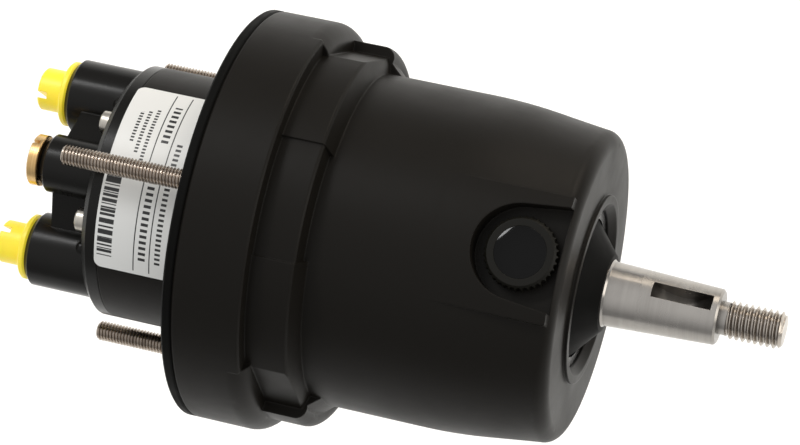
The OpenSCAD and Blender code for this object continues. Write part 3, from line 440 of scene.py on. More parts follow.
@dataclass(frozen=True)
class Finish:
    """A surface finish. Colours are as on a screen, and patches are counted to the metre."""

    name: str
    colour: str
    roughness: Range
    edge_radius: float
    patches: float

    EDGE_SAMPLES: ClassVar[int] = 6

    def start(self, metallic: float) -> Surface:
        """Starts a material with its surface shader.

        Args:
            metallic: 1 for bare metal, 0 for a coat, plastic or rubber.

        Returns:
            The material in the making.
        """
        material = bpy.data.materials.new(self.name)
        material.use_nodes = True
        material.diffuse_color = linear(self.colour)
        graph = Graph(material.node_tree)
        shader = material.node_tree.nodes["Principled BSDF"]
        shader.inputs["Metallic"].default_value = metallic
        place = graph.node("ShaderNodeTexCoord").outputs["Object"]
        soft = graph.node("ShaderNodeBevel", {"samples": self.EDGE_SAMPLES}, Radius=self.edge_radius)
        return Surface(material, graph, shader, place, soft.outputs["Normal"])

    def haze(self, shelf: EffectShelf, surface: Surface) -> Socket:
        """Adds the finish's drifting roughness.

        Args:
            shelf: The shared effects.
            surface: The material in the making.

        Returns:
            The roughness.
        """
        low, high = self.roughness
        return shelf.place(surface.graph, Effect.HAZE, Vector=surface.place, Patches=self.patches, Low=low,
                           High=high)

    def material(self, shelf: EffectShelf) -> bpy.types.Material:
        """Builds the material; each kind of finish has its own."""
        raise NotImplementedError


@dataclass(frozen=True, kw_only=True)
class CoatFinish(Finish):
    """Paint, plastic or rubber with a fine grain, paler edges that are partly a rubbed coat and partly a
    painted edge highlight, and an optional painted glow.
    """

    edge_colour: str
    edge_share: float = 0.35
    grain: float = 2200.0
    grain_depth: float = 0.006 * MM
    specular: float = 0.5
    subsurface: float = 0.0
    painted_glow: float = 0.0

    EDGE_POLISH: ClassVar[float] = 0.12
    EDGE_MARK_FINENESS: ClassVar[float] = 4.0
    SUBSURFACE_REACH: ClassVar[float] = 2 * MM

    def material(self, shelf: EffectShelf) -> bpy.types.Material:
        """Builds the coat's material.

        Args:
            shelf: The shared effects.

        Returns:
            The material.
        """
        surface = self.start(metallic=0.0)
        graph = surface.graph
        normal = graph.node("ShaderNodeNewGeometry").outputs["Normal"]
        rub_and_highlight = shelf.place(graph, Effect.RUB, Softened=surface.soft, Normal=normal, Vector=surface.place,
                          Patches=self.EDGE_MARK_FINENESS * self.patches)
        worn_and_highlit = graph.math("MULTIPLY", rub_and_highlight, self.edge_share)
        # Paler colour along edges: partly a rubbed coat, partly a painted edge highlight.
        surface.feed("Base Color", graph.blend(worn_and_highlit, linear(self.colour), linear(self.edge_colour)))
        polish = graph.math("MULTIPLY", rub_and_highlight, -self.EDGE_POLISH)
        surface.feed("Roughness", graph.math("ADD", self.haze(shelf, surface), polish))
        grain = shelf.place(graph, Effect.GRAIN, Vector=surface.place, Grain=self.grain)
        surface.bump(grain, self.grain_depth)
        surface.feed("Specular IOR Level", self.specular)
        # Painted light: a glow makes the coat shine in its own colour though it is no lamp.
        surface.feed("Emission Color", linear(self.colour))
        surface.feed("Emission Strength", self.painted_glow)
        if self.subsurface:
            surface.feed("Subsurface Weight", self.subsurface)
            surface.feed("Subsurface Scale", self.SUBSURFACE_REACH)
        return surface.material


@dataclass(frozen=True)
class MattBand:
    """A ground stretch of a shaft: it runs forward from end_y and is rougher by a step."""

    end_y: float
    step: float


@dataclass(frozen=True, kw_only=True)
class MetalFinish(Finish):
    """Bare metal with tool lines across the pump's axis, and painted shade in its crevices where a share is
    set.
    """

    second_colour: str
    crevice_reach: float = 0.0
    crevice_shade_share: float = 0.0
    band: MattBand | None = None

    LINES: ClassVar[float] = 5000.0
    LINE_DEPTH: ClassVar[float] = 0.004 * MM
    STREAK_LINES: ClassVar[Range] = (0.6, 1.25)
    STREAK_PATCHES: ClassVar[Range] = (0.3, 0.7)
    # The painted shade in crevices: its colour, the openness over which it grows, and its samples.
    CREVICE_SHADE_COLOUR: ClassVar[str] = "17130f"
    CREVICE_SKY: ClassVar[Range] = (0.85, 0.2)
    CREVICE_SAMPLES: ClassVar[int] = 8

    def material(self, shelf: EffectShelf) -> bpy.types.Material:
        """Builds the metal's material.

        Args:
            shelf: The shared effects.

        Returns:
            The material.
        """
        surface = self.start(metallic=1.0)
        graph = surface.graph
        along = graph.node("ShaderNodeSeparateXYZ", Vector=surface.place).outputs["Y"]
        lines = shelf.place(graph, Effect.LINES, Along=along, Lines=self.LINES)
        patches = graph.spread(graph.noise(surface.place, self.patches, detail=3.0), self.STREAK_PATCHES)
        streaks = graph.math("MULTIPLY", graph.spread(lines, self.STREAK_LINES), patches)
        bare = graph.blend(streaks, linear(self.colour), linear(self.second_colour))
        # Painted shade: the base colour darkens in key seats and at thread roots.
        surface.feed("Base Color", self.paint_crevice_shade(graph, bare))
        rough = self.haze(shelf, surface)
        if self.band is not None:
            matt = graph.math("LESS_THAN", along, self.band.end_y)
            rough = graph.math("MULTIPLY_ADD", matt, self.band.step, rough)
        surface.feed("Roughness", rough)
        surface.bump(lines, self.LINE_DEPTH)
        return surface.material

    def paint_crevice_shade(self, graph: Graph, colour: Socket) -> Socket:
        """Paints shade into a colour where the surface is closed in, as in a key seat or at a thread's root.

        Args:
            graph: The material's nodes.
            colour: The colour in the open.

        Returns:
            The colour with painted shade in its crevices.
        """
        if not self.crevice_shade_share:
            return colour
        samples = {"samples": self.CREVICE_SAMPLES}
        sky = graph.node("ShaderNodeAmbientOcclusion", samples, Distance=self.crevice_reach).outputs["AO"]
        closed = graph.spread(sky, self.CREVICE_SKY, 0.0, self.crevice_shade_share)
        return graph.blend(closed, colour, linear(self.CREVICE_SHADE_COLOUR))


@dataclass(frozen=True)
class PrintedBlock:
    """One rectangle of ink on the label: its middle and size, and its dashes, in millimetres."""

    across: float
    along: float
    width: float
    length: float
    step: float = 1.0
    share: float = 1.0


@dataclass(frozen=True, kw_only=True)
class LabelFinish(Finish):
    """Smooth white film with plain rules and bars."""

    wrap_r: float
    blocks: tuple[PrintedBlock, ...]

    INK: ClassVar[str] = "202020"
    GRAIN: ClassVar[float] = 900.0
    GRAIN_DEPTH: ClassVar[float] = 0.02 * MM
    GRAIN_SHARE: ClassVar[float] = 0.4

    def material(self, shelf: EffectShelf) -> bpy.types.Material:
        """Builds the label's material.

        Args:
            shelf: The shared effects.

        Returns:
            The material.
        """
        surface = self.start(metallic=0.0)
        graph = surface.graph
        axes = graph.node("ShaderNodeSeparateXYZ", Vector=surface.place).outputs
        turn = graph.math("ARCTAN2", axes["X"], axes["Z"])
        across = graph.math("MULTIPLY", turn, self.wrap_r / MM)
        along = graph.math("MULTIPLY", axes["Y"], 1 / MM)
        ink: object = 0.0
        for block in self.blocks:
            mark = shelf.place(graph, Effect.BLOCK, Across=across, Along=along, Mid_Across=block.across,
                               Mid_Along=block.along, Width=block.width, Length=block.length,
                               Step=block.step, Share=block.share)
            ink = graph.math("MAXIMUM", ink, mark)
        surface.feed("Base Color", graph.blend(ink, linear(self.colour), linear(self.INK)))
        surface.feed("Roughness", self.haze(shelf, surface))
        grain = shelf.place(graph, Effect.GRAIN, Vector=surface.place, Grain=self.GRAIN)
        surface.bump(grain, self.GRAIN_DEPTH, self.GRAIN_SHARE)
        return surface.material


class PaintShop:
    """Keeps one material for each finish."""

    def __init__(self) -> None:
        """Starts with no materials made."""
        self.shelf = EffectShelf()
        self.made: dict[str, bpy.types.Material] = {}

    def apply(self, finish: Finish, piece: bpy.types.Object) -> None:
        """Gives a piece a finish.

        Args:
            finish: The finish.
            piece: The piece or CAD node.
        """
        if finish.name not in self.made:
            self.made[finish.name] = finish.material(self.shelf)
        piece.data.materials.clear()
        piece.data.materials.append(self.made[finish.name])


class Bench:
    """Modelling steps, made with Blender's own operators."""

    SHARP_ANGLE = math.radians(30.0)
    SEAM = 0.001 * MM

    @staticmethod
    def pick(piece: bpy.types.Object) -> None:
        """Selects one object and nothing else.

        Args:
            piece: The object.
        """
        bpy.ops.object.select_all(action="DESELECT")
        piece.select_set(True)
        bpy.context.view_layer.objects.active = piece

    @staticmethod
    @contextmanager
    def editing(piece: bpy.types.Object) -> Iterator[None]:
        """Opens a piece in edit mode with all of its points selected.

        Args:
            piece: The piece.

        Yields:
            Nothing; edit mode ends with the block.
        """
        Bench.pick(piece)
        bpy.ops.object.mode_set(mode="EDIT")
        bpy.ops.mesh.select_mode(type="VERT")
        bpy.ops.mesh.select_all(action="SELECT")
        yield
        bpy.ops.object.mode_set(mode="OBJECT")

    @staticmethod
    def select_faces(piece: bpy.types.Object, test: Callable[[bpy.types.MeshPolygon], bool]) -> None:
        """Selects the faces that pass a test, from edit mode.

        Args:
            piece: The piece in edit mode.
            test: Whether a face is wanted.
        """
        bpy.ops.mesh.select_mode(type="FACE")
        bpy.ops.mesh.select_all(action="DESELECT")
        bpy.ops.object.mode_set(mode="OBJECT")
        for face in piece.data.polygons:
            face.select = test(face)
        bpy.ops.object.mode_set(mode="EDIT")

    @staticmethod
    def apply(piece: bpy.types.Object, kind: str, **settings: object) -> None:
        """Adds a modifier and applies it.

        Args:
            piece: The piece.
            kind: The modifier's type.
            **settings: Its settings.
        """
        Bench.pick(piece)
        modifier = piece.modifiers.new(kind.lower(), kind)
        for name, value in settings.items():
            setattr(modifier, name, value)
        bpy.ops.object.modifier_apply(modifier=modifier.name)

    @staticmethod
    def move(piece: bpy.types.Object, turn: Point = (0, 0, 0), to: Point = (0, 0, 0)) -> None:
        """Turns and moves a piece, and keeps its place in its mesh.

        Args:
            piece: The piece.
            turn: The turn about X, Y and Z, in radians.
            to: The move after the turn.
        """
        Bench.pick(piece)
        piece.rotation_euler = turn
        piece.location = to
        bpy.ops.object.transform_apply(location=True, rotation=True, scale=True)

    @staticmethod
    def smooth(piece: bpy.types.Object) -> None:
        """Turns the faces outwards and shades all but sharp edges smooth.

        Args:
            piece: The piece.
        """
        with Bench.editing(piece):
            bpy.ops.mesh.normals_make_consistent(inside=False)
        Bench.pick(piece)
        bpy.ops.object.shade_smooth_by_angle(angle=Bench.SHARP_ANGLE)

    @staticmethod
    def plane(name: str) -> bpy.types.Object:
        """Starts a piece as a square of one metre.

        Args:
            name: The piece's name.

        Returns:
            The piece.
        """
        bpy.ops.object.select_all(action="DESELECT")
        bpy.ops.mesh.primitive_plane_add(size=1.0)
        piece = bpy.context.object
        piece.name = name
        return piece

    @staticmethod
    def point(name: str, place: Point) -> bpy.types.Object:
        """Starts a piece as one point, ready to be extruded.

        Args:
            name: The piece's name.
            place: Where the point is.

        Returns:
            The piece.
        """
        piece = Bench.plane(name)
        with Bench.editing(piece):
            bpy.ops.mesh.merge(type="CENTER")
            bpy.ops.transform.translate(value=place)
        return piece

    @staticmethod
    def merged_copy(node: bpy.types.Object, name: str) -> bpy.types.Object:
        """Copies a CAD node's mesh into a piece of its own, with its triangles joined.

        Args:
            node: The CAD node.
            name: The piece's name.

        Returns:
            The piece.
        """
        piece = bpy.data.objects.new(name, node.data.copy())
        bpy.context.scene.collection.objects.link(piece)
        Bench.pick(piece)
        bpy.ops.mesh.customdata_custom_splitnormals_clear()
        with Bench.editing(piece):
            bpy.ops.mesh.remove_doubles(threshold=Bench.SEAM)
        return piece


@dataclass(frozen=True)
class ThreadForm:
    """A screw thread of about 60 degrees with flat crests and roots. Its shares are of the pitch."""

    crest_r: float
    pitch: float
    steps: int = 36

    DEPTH_SHARE: ClassVar[float] = 0.56
    ROOT_SHARE: ClassVar[float] = 0.25
    CREST_SHARE: ClassVar[float] = 0.125
    OVERRUN_SHARE: ClassVar[float] = 0.25
    CLEARANCE_SHARE: ClassVar[float] = 0.02
    SEAM_SHARE: ClassVar[float] = 0.001
    LEAD_TURNS: ClassVar[int] = 2
    SUNK_DEPTH: ClassVar[float] = 0.6
    END_FACING: ClassVar[float] = 0.9

    @property
    def depth(self) -> float:
        """Height of the thread from root to crest."""
        return self.DEPTH_SHARE * self.pitch

    def rod(self, name: str, length: float, chamfer: float, sunk: float = 0.0) -> bpy.types.Object:
        """Models a threaded rod along Z, from 0 to its length.

        Args:
            name: The piece's name.
            length: The rod's length.
            chamfer: The bevel at both ends.
            sunk: How much of the far end is screwed in, and cut back to the middle of the thread.

        Returns:
            The piece.
        """
        rod = self.endless(name, length)
        self.trim(rod, length)
        self.cut(rod, Cut.KEEP_INSIDE, self.envelope(length, chamfer))
        if sunk:
            self.cut(rod, Cut.TAKE_AWAY, self.sleeve(length - sunk, length))
        Bench.smooth(rod)
        return rod

    def endless(self, name: str, length: float) -> bpy.types.Object:
        """Winds the thread's profile into a screw that runs past both ends of the rod.

        Args:
            name: The piece's name.
            length: The rod's length.

        Returns:
            The piece.
        """
        flank = self.pitch * (1 - self.ROOT_SHARE - self.CREST_SHARE) / 2
        strokes = (
            (0, 0, self.pitch * self.ROOT_SHARE),
            (self.depth, 0, flank),
            (0, 0, self.pitch * self.CREST_SHARE),
            (-self.depth, 0, flank),
        )
        rod = Bench.point(name, (self.crest_r - self.depth, 0, -self.LEAD_TURNS * self.pitch))
        with Bench.editing(rod):
            for stroke in strokes:
                bpy.ops.mesh.extrude_vertices_move(TRANSFORM_OT_translate={"value": stroke})
        turns = math.ceil(length / self.pitch) + 2 * self.LEAD_TURNS
        Bench.apply(rod, "SCREW", axis="Z", angle=FULL_TURN, screw_offset=self.pitch, steps=self.steps,
                    render_steps=self.steps, iterations=turns)
        return rod

    def trim(self, rod: bpy.types.Object, length: float) -> None:
        """Cuts the screw off a little past both ends, and closes it.

        Args:
            rod: The screw.
            length: The rod's length.
        """
        overrun = self.OVERRUN_SHARE * self.pitch
        with Bench.editing(rod):
            bpy.ops.mesh.remove_doubles(threshold=self.SEAM_SHARE * self.pitch)
            for height, outwards in ((-overrun, -1), (length + overrun, 1)):
                bpy.ops.mesh.select_all(action="SELECT")
                bpy.ops.mesh.bisect(plane_co=(0, 0, height), plane_no=(0, 0, outwards), use_fill=True,
                                    clear_outer=True)
            bpy.ops.mesh.select_all(action="SELECT")
            bpy.ops.mesh.normals_make_consistent(inside=False)

    def cut(self, rod: bpy.types.Object, kind: Cut, tool: bpy.types.Object) -> None:
        """Cuts a rod with a tool, and removes the tool.

        Args:
            rod: The rod.
            kind: The kind of cut.
            tool: The cutting shape.
        """
        Bench.apply(rod, "BOOLEAN", operation=kind.value, object=tool, solver="EXACT")
        bpy.data.objects.remove(tool)

    def cylinder(self, radius: float, start: float, end: float, ends: Ends) -> bpy.types.Object:
        """Starts a cutting shape as a cylinder along Z.

        Args:
            radius: Its radius.
            start: Where it starts along the rod.
            end: Where it ends.
            ends: How its ends are made.

        Returns:
            The cutting shape.
        """
        bpy.ops.object.select_all(action="DESELECT")
        bpy.ops.mesh.primitive_cylinder_add(vertices=2 * self.steps, radius=radius, depth=end - start,
                                            end_fill_type=ends.value, location=(0, 0, (start + end) / 2))
        tool = bpy.context.object
        Bench.move(tool, to=tool.location)
        return tool

    def sleeve(self, start: float, end: float) -> bpy.types.Object:
        """Models the tube that cuts a screwed-in end back to the middle of its thread.

        Args:
            start: Where the tube starts along the rod.
            end: Where the rod ends; the tube runs on past it.

        Returns:
            The tube.
        """
        inner_r = self.crest_r - self.SUNK_DEPTH * self.depth
        tube = self.cylinder(inner_r, start, end + self.pitch, Ends.OPEN)
        Bench.apply(tube, "SOLIDIFY", thickness=2 * self.depth, offset=1.0)
        return tube

    def envelope(self, length: float, chamfer: float) -> bpy.types.Object:
        """Models the bevelled bar that trims a rod's ends.

        Args:
            length: The rod's length.
            chamfer: The bevel at both ends.

        Returns:
            The bar.
        """
        outer_r = self.crest_r + self.CLEARANCE_SHARE * self.pitch
        bar = self.cylinder(outer_r, 0.0, length, Ends.CLOSED)
        with Bench.editing(bar):
            Bench.select_faces(bar, lambda face: abs(face.normal.z) > self.END_FACING)
            bpy.ops.mesh.bevel(offset=chamfer, affect="EDGES")
        return bar


HOUSING_PAINT = CoatFinish(
    "housing_paint", "151310", roughness=(0.37, 0.47), edge_radius=0.7 * MM, patches=45.0,
    edge_colour="2a2722", edge_share=0.25, grain_depth=0.02 * MM, specular=0.1,
)
COVER_PAINT = CoatFinish(
    "cover_paint", "100f0d", roughness=(0.2, 0.3), edge_radius=0.5 * MM, patches=45.0,
    edge_colour="2f2c27", grain_depth=0.008 * MM, specular=0.18,
)
RUBBER = CoatFinish(
    "rubber", "090908", roughness=(0.5, 0.65), edge_radius=0.3 * MM, patches=90.0,
    edge_colour="1c1b1a", edge_share=0.3, grain=1500.0, grain_depth=0.02 * MM, specular=0.06,
)
CLIP_BLACK = CoatFinish(
    "clip_black", "121110", roughness=(0.15, 0.25), edge_radius=0.15 * MM, patches=120.0,
    edge_colour="6a6762", edge_share=0.5,
)
PLUG_PLASTIC = CoatFinish(
    "plug_plastic", "100f0b", roughness=(0.42, 0.55), edge_radius=0.3 * MM, patches=90.0,
    edge_colour="2a281f", edge_share=0.4, grain=1800.0, specular=0.14,
)
BADGE_GLOSS = CoatFinish(
    "badge_gloss", "040404", roughness=(0.04, 0.07), edge_radius=0.2 * MM, patches=90.0,
    edge_colour="101010", edge_share=0.2, grain=900.0, grain_depth=0.002 * MM, specular=0.14,
)
# The caps glow with their own colour: painted light, brighter than the lamps make them.
CAP_YELLOW = CoatFinish(
    "cap_yellow", "f5df38", roughness=(0.3, 0.42), edge_radius=0.35 * MM, patches=90.0,
    edge_colour="fbf27a", edge_share=0.3, grain=1300.0, grain_depth=0.01 * MM, subsurface=0.15, painted_glow=0.16,
)
# The crevice shares below paint shade into thread roots and the shaft's key seat.
STUD_STEEL = MetalFinish(
    "stud_steel", "b9ada1", roughness=(0.2, 0.32), edge_radius=0.06 * MM, patches=150.0,
    second_colour="8d8176", crevice_reach=0.7 * MM, crevice_shade_share=0.8,
)
SHAFT_STEEL = MetalFinish(
    "shaft_steel", "a5a19c", roughness=(0.17, 0.26), edge_radius=0.12 * MM, patches=70.0,
    second_colour="8d8984", crevice_reach=6 * MM, crevice_shade_share=0.6,
)
# A paler copy of the shaft steel for the thread: painted light that lifts it out of the shade between its
# turns.
THREAD_STEEL = MetalFinish(
    "thread_steel", "bcb4ab", roughness=(0.18, 0.28), edge_radius=0.06 * MM, patches=70.0,
    second_colour="9c948b", crevice_reach=1.1 * MM, crevice_shade_share=0.8,
)
SCREW_STEEL = MetalFinish(
    "screw_steel", "c6c1b8", roughness=(0.22, 0.34), edge_radius=0.15 * MM, patches=150.0,
    second_colour="a29c92",
)
BRASS = MetalFinish(
    "brass", "e0bd85", roughness=(0.24, 0.36), edge_radius=0.2 * MM, patches=120.0,
    second_colour="b88f58",
)
BRONZE = MetalFinish(
    "bronze", "c79a63", roughness=(0.3, 0.42), edge_radius=0.15 * MM, patches=120.0,
    second_colour="96703f",
)
ALUMINIUM = MetalFinish(
    "valve_block", "c9cbd0", roughness=(0.3, 0.4), edge_radius=0.2 * MM, patches=80.0,
    second_colour="a5a8ad",
)
HARD_STEEL = MetalFinish(
    "hard_steel", "c4c5c8", roughness=(0.14, 0.24), edge_radius=0.1 * MM, patches=80.0,
    second_colour="9fa1a5",
)
SPRING_STEEL = MetalFinish(
    "spring_steel", "adaeb2", roughness=(0.28, 0.4), edge_radius=0.05 * MM, patches=150.0,
    second_colour="7d7f84",
)


@dataclass
class Assembly:
    """A sub-assembly: the finishes of its nodes, and the pieces that it adds."""

    frame: Frame
    shop: PaintShop
    finishes: dict[str, Finish] = field(default_factory=dict)

    def build(self) -> list[bpy.types.Object]:
        """Models the pieces that the assembly adds; some add none."""
        return []

    def dress(self) -> None:
        """Gives each of the assembly's nodes its finish."""
        for node, finish in self.finishes.items():
            self.shop.apply(finish, self.frame["nodes"][node])

    def mount(self, name: str) -> dict[str, Any]:
        """Finds one of the record's mounts by name."""
        return next(m for m in self.frame["record"]["mounts"] if m["name"] == name)


@dataclass
class FrontHousing(Assembly):
    """The cast drum with its gasket, boot, circlip and seal, and the filler plug."""

    finishes: dict[str, Finish] = field(default_factory=lambda: {
        "front_housing": HOUSING_PAINT,
        "mounting_gasket": RUBBER,
        "dust_boot": RUBBER,
        "shaft_seal": RUBBER,
        "nose_circlip": CLIP_BLACK,
        "filler_plug": PLUG_PLASTIC,
        "filler_plug_oring": RUBBER,
        "plug_badge": BADGE_GLOSS,
    })


@dataclass
class MountingStuds(Assembly):
    """Three threaded studs behind the flange."""

    pitch: float = 1.0 * MM
    chamfer: float = 0.8 * MM

    def build(self) -> list[bpy.types.Object]:
        """Models one threaded stud and copies it round the flange.

        Returns:
            The studs.
        """
        dims = self.mount("mounting_studs")["dims"]
        low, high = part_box("mounting_studs")
        circle_r = dims["pcd_mm"] * MM / 2
        form = ThreadForm(dims["stud_r_mm"] * MM, self.pitch)
        first = form.rod("mounting_stud_1", high.y - low.y, self.chamfer, sunk=-low.y)
        studs = [first]
        for number in range(1, dims["count"]):
            stud = first.copy()
            stud.data = first.data.copy()
            stud.name = f"mounting_stud_{number + 1}"
            bpy.context.scene.collection.objects.link(stud)
            studs.append(stud)
        for number, stud in enumerate(studs):
            turn = FULL_TURN * number / dims["count"]
            place = (circle_r * math.sin(turn), high.y, circle_r * math.cos(turn))
            Bench.move(stud, (QUARTER_TURN, 0, 0), place)
            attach(stud, Body.HOUSING.value)
            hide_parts("mounting_studs")
            self.shop.apply(STUD_STEEL, stud)
        return studs


@dataclass
class WheelShaft(Assembly):
    """The tapered shaft with its key seat and the nut's thread."""

    threads_to_inch: int = 14
    thread_steps: int = 48
    chamfer: float = 1.2 * MM
    neck_cone: float = 0.7 * MM
    bite: float = 0.4 * MM
    band_share: float = 0.27
    band_step: float = 0.07

    def build(self) -> list[bpy.types.Object]:
        """Takes the shaft from the CAD node and puts a real thread on its end.

        Returns:
            The shaft and its thread.
        """
        dims = self.mount("wheel_thread")["dims"]
        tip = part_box("shaft")[0].y
        thread_len = dims["length_mm"] * MM + self.chamfer + self.neck_cone
        neck_y = tip + thread_len
        shaft = Bench.merged_copy(self.frame["nodes"]["shaft"], "wheel_shaft")
        with Bench.editing(shaft):
            bpy.ops.mesh.bisect(plane_co=(0, neck_y, 0), plane_no=(0, -1, 0), use_fill=True,
                                clear_outer=True)
        Bench.smooth(shaft)
        form = ThreadForm(dims["r_mm"] * MM, INCH_MM / self.threads_to_inch * MM, self.thread_steps)
        thread = form.rod("wheel_thread", thread_len + self.bite, self.chamfer)
        Bench.move(thread, (QUARTER_TURN, 0, 0), (0, neck_y + self.bite, 0))
        taper_y = self.mount("wheel_taper")["pos_m"][1]
        band = MattBand(taper_y + self.band_share * (neck_y - taper_y), self.band_step)
        for piece, finish in ((shaft, replace(SHAFT_STEEL, band=band)), (thread, THREAD_STEEL)):
            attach(piece, Body.SHAFT.value)
            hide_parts("shaft")
            self.shop.apply(finish, piece)
        return [shaft, thread]


@dataclass
class RearEnd(Assembly):
    """The pump casing, its end cover, hose port caps, vent and label. The print is in millimetres."""

    finishes: dict[str, Finish] = field(default_factory=lambda: {
        "pump_casing": HOUSING_PAINT,
        "casing_circlip": CLIP_BLACK,
        "casing_oring": RUBBER,
        "rear_cover": COVER_PAINT,
        "cover_oring": RUBBER,
        "cover_screws": SCREW_STEEL,
        "port_cap_left": CAP_YELLOW,
        "port_cap_right": CAP_YELLOW,
        "vent_plug": BRASS,
        "vent_plug_oring": RUBBER,
    })
    label_half: float = math.radians(45.5)
    label_back: float = 29.7 * MM
    label_front: float = 0.6 * MM
    label_t: float = 0.08 * MM
    label_lift: float = 0.04 * MM
    corner_r: float = 2.2 * MM
    corner_steps: int = 8
    strips: int = 48
    rule_places: tuple[float, ...] = (12.6, 17.5)
    fine_rows: int = 3
    fine_gap: float = 2.3
    fine_shift: float = 1.0
    fine_trim: float = 4.0
    stripe_steps: tuple[float, ...] = (1.13, 1.9, 3.1)

    def build(self) -> list[bpy.types.Object]:
        """Models the label: a flat film with round corners, bent round the casing.

        Returns:
            The label.
        """
        wrap_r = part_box("rear_cover")[1].x + self.label_lift
        width = 2 * self.label_half * wrap_r
        length = self.label_back - self.label_front
        label = Bench.plane("casing_label")
        with Bench.editing(label):
            bpy.ops.transform.resize(value=(width, length, 1.0))
            bpy.ops.mesh.bevel(offset=self.corner_r, segments=self.corner_steps, affect="VERTICES")
            for number in range(1, self.strips):
                across = width * (number / self.strips - 0.5)
                bpy.ops.mesh.select_all(action="SELECT")
                bpy.ops.mesh.bisect(plane_co=(across, 0, 0), plane_no=(1, 0, 0))
        Bench.move(label, (QUARTER_TURN, 0, 0))
        Bench.apply(label, "SIMPLE_DEFORM", deform_method="BEND", deform_axis="Z", angle=2 * self.label_half)
        Bench.apply(label, "SOLIDIFY", thickness=self.label_t, offset=1.0)
        Bench.move(label, (-QUARTER_TURN, 0, 0), (0, self.label_front + length / 2, wrap_r))
        Bench.smooth(label)
        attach(label, Body.HOUSING.value)
        film = LabelFinish(
            "label_film", "dededb", roughness=(0.32, 0.42), edge_radius=0.05 * MM, patches=60.0,
            wrap_r=wrap_r, blocks=self.print_blocks(),
        )
        self.shop.apply(film, label)
        return [label]

    def print_blocks(self) -> tuple[PrintedBlock, ...]:
        """Lays out plain rules, rows of dashes and a field of stripes.

        Returns:
            The printed blocks.
        """
        rules = [
            PrintedBlock(across=0.0, along=along, width=58.0, length=0.35)
            for along in self.rule_places
        ]
        fine = [
            PrintedBlock(across=12.5 + self.fine_shift * row, along=20.2 + self.fine_gap * row,
                         width=19.0 - self.fine_trim * row, length=1.1, step=1.05, share=0.55)
            for row in range(self.fine_rows)
        ]
        wide = [
            PrintedBlock(across=17.0, along=15.0, width=14.0, length=2.2, step=1.8, share=0.5),
            PrintedBlock(across=-13.5, along=15.0, width=25.0, length=2.2, step=1.8, share=0.5),
            PrintedBlock(across=-7.0, along=10.2, width=38.0, length=1.7, step=1.5, share=0.5),
        ]
        bold = PrintedBlock(across=0.0, along=5.2, width=54.0, length=3.2, step=4.6, share=0.6)
        stripes = [
            PrintedBlock(across=-13.6, along=26.6, width=25.0, length=4.6, step=step, share=0.28)
            for step in self.stripe_steps
        ]
        return (*rules, *fine, *wide, bold, *stripes)


@dataclass
class PumpWorks(Assembly):
    """The sealed works: bearing, swash plate, rotor, pistons and lock valve."""

    pistons: int = 7

    def __post_init__(self) -> None:
        """Lists the finish of each inner node."""
        groups: dict[Finish, tuple[str, ...]] = {
            ALUMINIUM: ("lock_valve_block", "swash_plate"),
            BRONZE: ("rear_bush", "port_plate", "bearing_cage", "thrust_cage"),
            BRASS: ("valve_end_plug_left", "valve_end_plug_right"),
            SPRING_STEEL: ("check_spring_left", "check_spring_right"),
            HARD_STEEL: ("lock_spool", "check_seat_left", "check_seat_right", "check_poppet_left",
                         "check_poppet_right", "rotor", "rotor_key", "swash_dowel", "thrust_balls",
                         "thrust_race", "bearing_outer_race", "bearing_inner_race", "bearing_balls"),
        }
        for finish, nodes in groups.items():
            self.finishes.update(dict.fromkeys(nodes, finish))
        for number in range(1, self.pistons + 1):
            self.finishes[f"piston_{number}"] = HARD_STEEL
            self.finishes[f"piston_spring_{number}"] = SPRING_STEEL

    def build(self) -> list[bpy.types.Object]:
        """Takes the poppets' springs, which the joints list as deforming, from the CAD nodes into pieces
        with meshes of their own.

        Returns:
            The springs.
        """
        springs = []
        for joint in self.frame["record"]["behaviour"]["joints"]:
            for coil in joint.get("deforming_nodes", []):
                node = coil["node"]
                spring = Bench.merged_copy(self.frame["nodes"][node], node.replace("check", "poppet"))
                Bench.smooth(spring)
                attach(spring, Body.HOUSING.value)
                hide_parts(node)
                self.shop.apply(SPRING_STEEL, spring)
                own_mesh(spring)
                springs.append(spring)
        return springs


@dataclass(frozen=True)
class SoftBox:
    """A flat studio light, level along its width."""

    name: str
    place: Point
    width: float
    height: float
    watts: float
    tint: str = "ffffff"

    def build(self, target: Vector) -> None:
        """Sets the light up, facing a point.

        Args:
            target: The point that the light faces.
        """
        data = bpy.data.lights.new(self.name, "AREA")
        data.shape = "RECTANGLE"
        data.size = self.width
        data.size_y = self.height
        data.energy = self.watts
        data.color = linear(self.tint)[:3]
        light = bpy.data.objects.new(self.name, data)
        light.location = self.place
        light.rotation_euler = (target - Vector(self.place)).to_track_quat("-Z", "Y").to_euler()
        bpy.context.scene.collection.objects.link(light)


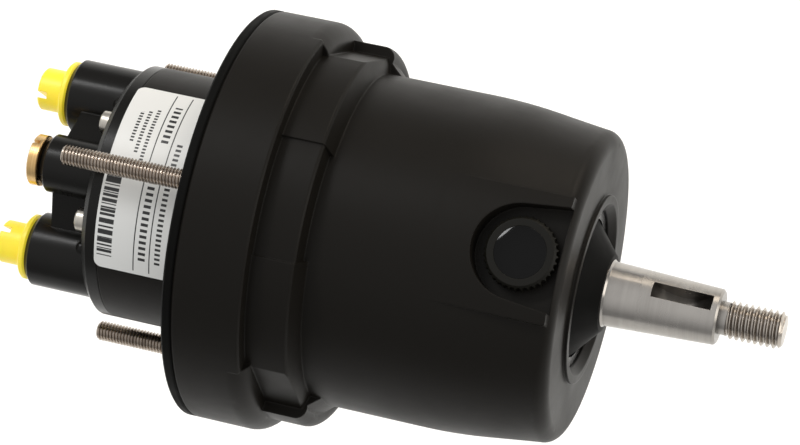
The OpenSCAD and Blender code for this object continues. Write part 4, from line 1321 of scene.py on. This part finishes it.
@dataclass
class Studio:
    """Camera, pale floor and soft light."""

    camera_place: Point = (-0.1202, -0.2806, 0.9452)
    camera_right: Point = (0.23825, -0.95039, -0.19999)
    camera_up: Point = (0.96245, 0.20346, 0.17969)
    lens_mm: float = 149.95
    nearest: float = 0.05
    farthest: float = 50.0
    floor_drop: float = 0.25
    floor_half: float = 6.0
    floor_colour: str = "f4f4f2"
    floor_roughness: float = 0.9
    floor_light: str = "ffffff"
    floor_glow: float = 0.22
    boxes: tuple[SoftBox, ...] = (
        SoftBox("key_side", (1.1, -0.35, 0.45), width=0.6, height=0.6, watts=5.2, tint="fff2e0"),
        SoftBox("front", (0.15, -1.2, 0.3), width=0.7, height=0.7, watts=4.0, tint="fffaf2"),
        SoftBox("glint", (0.53, 0.59, 0.95), width=0.5, height=0.11, watts=4.5),
    )
    horizon: str = "a8a8a8"
    zenith: str = "fbfbfb"
    sky_rise: Range = (0.25, 0.95)

    def build(self) -> None:
        """Sets up the camera, floor, lights and surroundings."""
        low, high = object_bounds()
        self.set_camera()
        self.lay_floor(low.z - self.floor_drop)
        for box in self.boxes:
            box.build((low + high) / 2)
        self.light_room()
        bpy.context.scene.view_settings.view_transform = "Standard"

    def set_camera(self) -> None:
        """Places the camera where the photograph was taken."""
        data = bpy.data.cameras.new("camera")
        data.lens = self.lens_mm
        data.clip_start = self.nearest
        data.clip_end = self.farthest
        camera = bpy.data.objects.new("camera", data)
        right, up = Vector(self.camera_right), Vector(self.camera_up)
        turn = Matrix((right, up, right.cross(up))).transposed()
        camera.matrix_world = Matrix.Translation(self.camera_place) @ turn.to_4x4()
        bpy.context.scene.collection.objects.link(camera)
        bpy.context.scene.camera = camera

    def lay_floor(self, height: float) -> None:
        """Lays a wide pale floor.

        Args:
            height: The floor's height.
        """
        bpy.ops.object.select_all(action="DESELECT")
        bpy.ops.mesh.primitive_plane_add(size=2 * self.floor_half, location=(0, 0, height))
        floor = bpy.context.object
        floor.name = "studio_floor"
        floor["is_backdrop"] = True
        material = bpy.data.materials.new("studio_floor")
        material.use_nodes = True
        inputs = material.node_tree.nodes["Principled BSDF"].inputs
        inputs["Base Color"].default_value = linear(self.floor_colour)
        inputs["Roughness"].default_value = self.floor_roughness
        inputs["Emission Color"].default_value = linear(self.floor_light)
        inputs["Emission Strength"].default_value = self.floor_glow
        floor.data.materials.append(material)

    def light_room(self) -> None:
        """Makes the surroundings grey at the horizon and bright overhead."""
        world = bpy.data.worlds.new("studio")
        world.use_nodes = True
        graph = Graph(world.node_tree)
        back = world.node_tree.nodes["Background"]
        view = graph.node("ShaderNodeTexCoord").outputs["Generated"]
        rise = graph.node("ShaderNodeSeparateXYZ", Vector=view).outputs["Z"]
        climb = graph.spread(rise, self.sky_rise)
        graph.feed(back.inputs["Color"], graph.blend(climb, linear(self.horizon), linear(self.zenith)))
        bpy.context.scene.world = world


def main() -> None:
    """Builds and dresses the pump, then sets up the studio."""
    logging.basicConfig(level=logging.INFO, format="%(message)s")
    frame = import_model()
    shop = PaintShop()
    for kind in (FrontHousing, MountingStuds, WheelShaft, RearEnd, PumpWorks):
        assembly = kind(frame, shop)
        assembly.dress()
        LOG.info("%s: %d nodes dressed", kind.__name__, len(assembly.finishes))
        for piece in assembly.build():
            LOG.info("%s: added %s, %d faces", kind.__name__, piece.name, len(piece.data.polygons))
    Studio().build()


if __name__ == "__main__":
    main()
